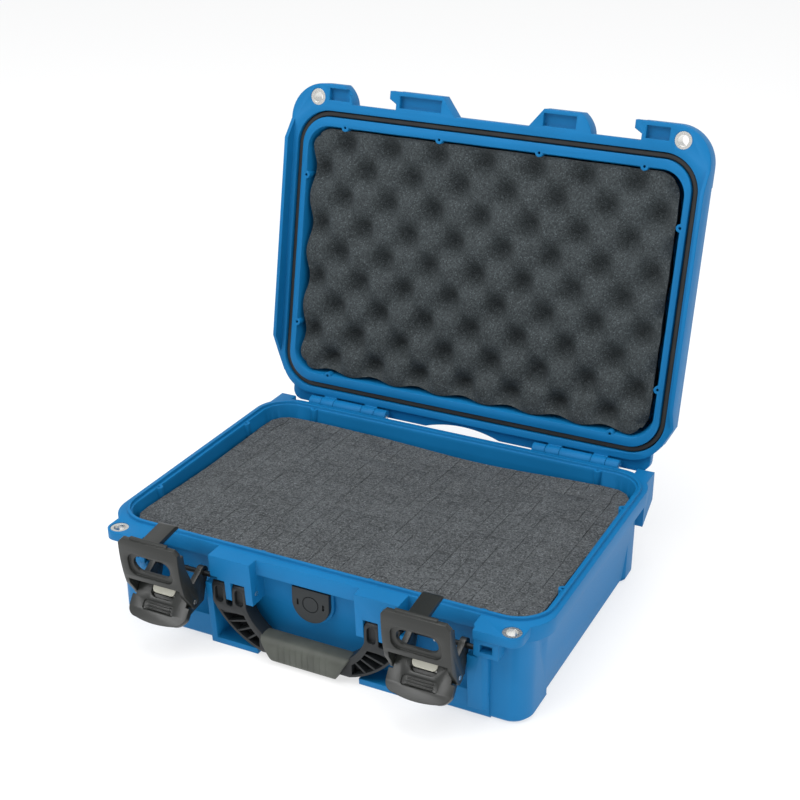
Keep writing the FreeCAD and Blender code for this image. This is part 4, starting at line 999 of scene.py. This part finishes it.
@dataclass
class CubeFoam:
    """Foam block in the base, cut from above into small cubes that still hold together."""

    cube: float = 12.7 * MM
    slit: float = 0.26 * MM
    slit_depth: float = 2.2 * MM
    unevenness: float = 0.25 * MM
    corner: float = 20 * MM
    edge_fall: float = 1.2 * MM
    lean: float = 2.6 * MM
    back_sag: float = 5.0 * MM
    dip: float = 4.5 * MM
    dip_place: Vector = field(default_factory=lambda: Vector((0.03, 0.11)))
    dip_reach: float = 75 * MM
    left_reach: float = 70 * MM
    wide_lift: float = 40
    fine_lift: float = 300
    fine_share: float = 0.4
    slit_change: float = 55
    slit_shut: float = 0.25
    slit_gain: float = 2.2
    sheet_columns: int = 24
    sheet_rows: int = 16

    def build(self, paint: Paint) -> List[bpy.types.Object]:
        """Make the cubes and the sheet under them.

        Args:
            paint: puts on the finish.

        Returns:
            The two pieces.
        """
        low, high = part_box("base_foam")
        size = high - low
        mesh = foam_face(low, high, round(size.x / self.cube), round(size.y / self.cube), self.corner)
        lines = list(mesh.verts)
        bmesh.ops.inset_individual(mesh, faces=list(mesh.faces), thickness=self.slit, depth=0.0,
                                   use_even_offset=True)
        corners = set(lines)
        tops = [face for face in mesh.faces if not corners.intersection(face.verts)]
        for face in tops:
            centre = face.calc_center_median()
            lift = noise.noise(centre * self.wide_lift)
            lift += noise.noise(centre * self.fine_lift) * self.fine_share
            for vert in face.verts:
                vert.co.z += (lift - 1) * self.unevenness
        for vert in lines:
            opened = max(0.0, noise.noise(vert.co * self.slit_change) + self.slit_shut)
            vert.co.z -= self.unevenness + self.slit_depth * min(1.0, opened * opened * self.slit_gain)
        edges = [edge for edge in mesh.edges if edge.is_boundary]
        for vert in {vert for edge in edges for vert in edge.verts}:
            vert.co.z = high.z - self.edge_fall
        for vert in mesh.verts:
            vert.co.z -= self.sag(vert.co, low, high)
        close_block(mesh, low.z, 1 - self.lean / high.x, 1 - self.lean / high.y)
        cubes = piece_from(mesh, "cube_foam", "base", smooth=0.9)
        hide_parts("base_foam")
        paint.put(cubes, Finish.BASE_FOAM)
        return [cubes, self.sheet(paint)]

    def sag(self, spot: Vector, low: Vector, high: Vector) -> float:
        """How far the foam has settled at a point.

        Args:
            spot: the point.
            low: lowest corner of the block.
            high: highest corner of the block.

        Returns:
            The drop of its face, most in the middle of the back.
        """
        share = (spot.y - low.y) / (high.y - low.y)
        left = max(0.0, 1 - (spot.x - low.x) / self.left_reach)
        away = (Vector((spot.x, spot.y)) - self.dip_place).length / self.dip_reach
        bowl = math.exp(-away * away)
        return self.back_sag * max(share, left * min(1.0, share * 2)) + self.dip * bowl

    def sheet(self, paint: Paint) -> bpy.types.Object:
        """Make the plain sheet under the cubes.

        Args:
            paint: puts on the finish.

        Returns:
            The piece.
        """
        low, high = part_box("base_pad")
        mesh = foam_face(low, high, self.sheet_columns, self.sheet_rows, self.corner)
        close_block(mesh, low.z)
        made = piece_from(mesh, "base_foam_sheet", "base")
        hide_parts("base_pad")
        paint.put(made, Finish.BASE_FOAM)
        return made


@dataclass
class WaveFoam:
    """Convoluted foam in the lid: staggered peaks and valleys on a block with knife-cut sides."""

    half_width: float = 160.4 * MM
    half_depth: float = 104.8 * MM
    face: float = 79.4 * MM
    back: float = 115.8 * MM
    lean: float = 6.8 * MM
    pitch: float = 42.3 * MM
    row: float = 23.5 * MM
    aside: float = -3.3 * MM
    wave: float = 16.5 * MM
    sharpness: float = 2.1
    rim_fade: float = 13 * MM
    rim_share: float = 0.65
    scallop: float = 3.6 * MM
    front_share: float = 0.12
    right_share: float = 0.55
    corner: float = 19 * MM
    step: float = 1.9 * MM
    ragged: float = 0.5 * MM
    ragged_change: float = 90

    def build(self, paint: Paint) -> bpy.types.Object:
        """Make the foam, drawn in the shut lid and swung open.

        Args:
            paint: puts on the finish.

        Returns:
            The piece.
        """
        mesh = bmesh.new()
        bmesh.ops.create_grid(mesh, x_segments=round(2 * self.half_width / self.step),
                              y_segments=round(2 * self.half_depth / self.step), size=1.0)
        bmesh.ops.scale(mesh, vec=(self.half_width, self.half_depth, 1), verts=mesh.verts)
        for vert in mesh.verts:
            vert.co.z = self.height(vert.co.x, vert.co.y)
        self.scallop_edges(mesh)
        half = Vector((self.half_width, self.half_depth, 0))
        draw_in_corners(mesh, -half, half, self.corner)
        close_block(mesh, self.back, 1 - self.lean / self.half_width, 1 - self.lean / self.half_depth)
        bmesh.ops.transform(mesh, matrix=LID_TURN, verts=mesh.verts)
        made = piece_from(mesh, "wave_foam", "lid", smooth=0.9)
        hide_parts("lid_foam")
        paint.put(made, Finish.LID_FOAM)
        return made

    def scallop_edges(self, mesh: bmesh.types.BMesh) -> None:
        """Draw the edges in where a valley runs out through them.

        Args:
            mesh: the foam's face.
        """
        row_turn = math.cos(math.pi * round(self.half_depth / self.row))
        for vert in mesh.verts:
            x, y = vert.co.x, vert.co.y
            near_x = max(0.0, 1 - (self.half_width - abs(x)) / self.rim_fade)
            near_y = max(0.0, 1 - (self.half_depth - abs(y)) / self.rim_fade)
            edge = math.copysign(self.half_width, x)
            column_turn = math.cos(math.pi * round((edge - self.aside) * 2 / self.pitch))
            along_x = 0.5 + 0.5 * row_turn * math.cos(2 * math.pi * (x - self.aside) / self.pitch)
            along_y = 0.5 + 0.5 * column_turn * math.cos(math.pi * y / self.row)
            side_share = self.right_share if x > 0 else 1.0
            end_share = self.front_share if y < 0 else 1.0
            vert.co.x -= math.copysign(self.scallop * side_share * near_x * along_y, x)
            vert.co.y -= math.copysign(self.scallop * end_share * near_y * along_x, y)

    def height(self, x: float, y: float) -> float:
        """The foam's face at a point of the shut lid.

        Args:
            x: place across the lid.
            y: place along the lid's depth.

        Returns:
            Height of the face, low at a peak and high in a valley.
        """
        wave = math.cos(2 * math.pi * (x - self.aside) / self.pitch) * math.cos(math.pi * y / self.row)
        share = (0.5 + 0.5 * wave) ** self.sharpness
        inside = min(self.half_width - abs(x), self.half_depth - abs(y), self.rim_fade) / self.rim_fade
        valley = self.wave * share * (self.rim_share + (1 - self.rim_share) * inside)
        rough = noise.noise(Vector((x, y, 0)) * self.ragged_change) * self.ragged
        return self.face + valley + rough + self.ragged


@dataclass(frozen=True)
class Lamp:
    """A round soft box: where it hangs, the point that it faces, its width in metres and its watts."""

    name: str
    place: Tuple[float, float, float]
    aim: Tuple[float, float, float]
    size: float
    power: float

    def hang(self, scene: bpy.types.Scene) -> None:
        """Put the lamp into the scene.

        Args:
            scene: the scene.
        """
        data = bpy.data.lights.new(self.name, "AREA")
        data.shape = "DISK"
        data.size = self.size
        data.energy = self.power
        made = bpy.data.objects.new(self.name, data)
        place = Vector(self.place)
        made.location = place
        made.rotation_euler = (Vector(self.aim) - place).to_track_quat("-Z", "Y").to_euler()
        scene.collection.objects.link(made)


@dataclass
class Studio:
    """Floor, backdrop light and camera."""

    floor_half: float = 8.0
    floor_tone: Colour = (0.9, 0.9, 0.9)
    floor_glow: float = 1.05
    floor_glow_share: float = 0.62
    bounce: float = 2.6
    bounce_share: float = 0.3
    white: Colour = (1.0, 1.0, 1.0)
    room_tone: Colour = (0.98, 0.99, 1.0)
    room_light: float = 0.75
    lamps: Tuple[Lamp, ...] = (
        Lamp("key", (-0.9, -1.5, 1.9), aim=(0, 0, 0.12), size=1.4, power=27),
        Lamp("top", (0.2, -0.2, 2.2), aim=(0, 0, 0.1), size=1.8, power=29),
        Lamp("side", (1.8, -0.6, 1.0), aim=(0, 0, 0.1), size=1.2, power=4))
    turn: float = math.radians(25.84)
    rise: float = math.radians(26.57)
    roll: float = math.radians(0.24)
    aim: Tuple[float, float, float] = (0.0, 0.04934, 0.1)
    distance: float = 1.1505
    lens: float = 65.37
    sensor: float = 36
    shift: Tuple[float, float] = (-0.0202, 0.058)

    def __post_init__(self) -> None:
        """Set the plain display transform."""
        self.scene = bpy.context.scene
        self.scene.view_settings.view_transform = "Standard"

    def floor(self) -> None:
        """Lay a plain pale floor that keeps the object's soft shadow."""
        mesh = bmesh.new()
        bmesh.ops.create_grid(mesh, x_segments=1, y_segments=1, size=self.floor_half)
        data = bpy.data.meshes.new("floor")
        mesh.to_mesh(data)
        mesh.free()
        made = bpy.data.objects.new("floor", data)
        self.scene.collection.objects.link(made)
        tree = Tree("pale_floor")
        tree.set(Base_Color=self.floor_tone, Roughness=1.0)
        seen = self.seen_rays(tree)
        glow = tree.node("ShaderNodeEmission", {}, {"Color": self.white, "Strength": self.floor_glow})
        blend = tree.node("ShaderNodeMixShader", {}, {0: seen * self.floor_glow_share})
        tree.links.new(tree.shader.outputs["BSDF"], blend.inputs[1])
        tree.links.new(glow.outputs["Emission"], blend.inputs[2])
        bounce = tree.node("ShaderNodeEmission", {}, {"Color": self.white, "Strength": self.bounce})
        lift = tree.node("ShaderNodeMixShader", {}, {0: (1 - seen) * self.bounce_share})
        tree.links.new(blend.outputs["Shader"], lift.inputs[1])
        tree.links.new(bounce.outputs["Emission"], lift.inputs[2])
        tree.links.new(lift.outputs["Shader"], tree.output.inputs["Surface"])
        data.materials.append(tree.material)

    @staticmethod
    def seen_rays(tree: Tree) -> Wire:
        """Rays that show the background: those of the camera, of gloss and of glass.

        Args:
            tree: the tree that asks.

        Returns:
            1 on such rays and 0 on the rest.
        """
        path = tree.node("ShaderNodeLightPath", {}, {})
        camera = Wire(tree, path.outputs["Is Camera Ray"])
        gloss = Wire(tree, path.outputs["Is Glossy Ray"])
        glass = Wire(tree, path.outputs["Is Transmission Ray"])
        return camera.maths("MINIMUM", camera + gloss + glass, 1.0)

    def world(self) -> None:
        """Fill the room with soft light, and show it as plain white."""
        world = bpy.data.worlds.new("studio")
        self.scene.world = world
        world.use_nodes = True
        nodes = world.node_tree.nodes
        links = world.node_tree.links
        nodes.clear()
        path = nodes.new("ShaderNodeLightPath")
        fill = nodes.new("ShaderNodeBackground")
        fill.inputs["Color"].default_value = (*self.room_tone, 1)
        fill.inputs["Strength"].default_value = self.room_light
        white = nodes.new("ShaderNodeBackground")
        white.inputs["Color"].default_value = (*self.white, 1)
        blend = nodes.new("ShaderNodeMixShader")
        output = nodes.new("ShaderNodeOutputWorld")
        links.new(path.outputs["Is Camera Ray"], blend.inputs[0])
        links.new(fill.outputs[0], blend.inputs[1])
        links.new(white.outputs[0], blend.inputs[2])
        links.new(blend.outputs[0], output.inputs["Surface"])

    def camera(self) -> None:
        """Stand the camera where the photograph was taken from."""
        level = math.cos(self.rise)
        back = Vector((math.sin(self.turn) * level, -math.cos(self.turn) * level, math.sin(self.rise)))
        data = bpy.data.cameras.new("camera")
        data.lens = self.lens
        data.sensor_width = self.sensor
        data.shift_x, data.shift_y = self.shift
        made = bpy.data.objects.new("camera", data)
        made.location = Vector(self.aim) + back * self.distance
        made.rotation_mode = "QUATERNION"
        upright = (-back).to_track_quat("-Z", "Y")
        made.rotation_quaternion = upright @ Matrix.Rotation(self.roll, 3, "Z").to_quaternion()
        self.scene.collection.objects.link(made)
        self.scene.camera = made

    def build(self) -> None:
        """Set up the whole studio."""
        self.floor()
        self.world()
        for lamp in self.lamps:
            lamp.hang(self.scene)
        self.camera()


def main() -> None:
    """Dress the case and set up the studio."""
    logging.basicConfig(level=logging.INFO)
    paint = Paint()
    for name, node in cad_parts.items():
        paint.put(node, finish_of(name))
    CubeFoam().build(paint)
    WaveFoam().build(paint)
    GripSleeve().build(paint)
    ArmRibs().build(paint)
    ValveCap().build(paint)
    for side in ("left", "right"):
        low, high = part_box("latch_claw_" + side)
        trim = ClawTrim((low.x + high.x) / 2)
        claw = RoundedCopy("latch_claw_" + side, "claw_" + side, radius=0.7 * MM, cutter=trim.build)
        claw.build(paint, Finish.LATCH, "latch")
        lever = RoundedCopy("latch_lever_" + side, "lever_" + side, radius=0.5 * MM)
        lever.build(paint, Finish.LATCH, "latch")
    RoundedCopy("handle_frame", "handle", radius=0.6 * MM).build(paint, Finish.HANDLE, "handle")
    RoundedCopy("base_shell", "base", radius=0.7 * MM).build(paint, Finish.SHELL, "shell")
    RoundedCopy("lid_shell", "lid", radius=0.7 * MM).build(paint, Finish.SHELL, "shell")
    Studio().build()


if __name__ == "__main__":
    main()
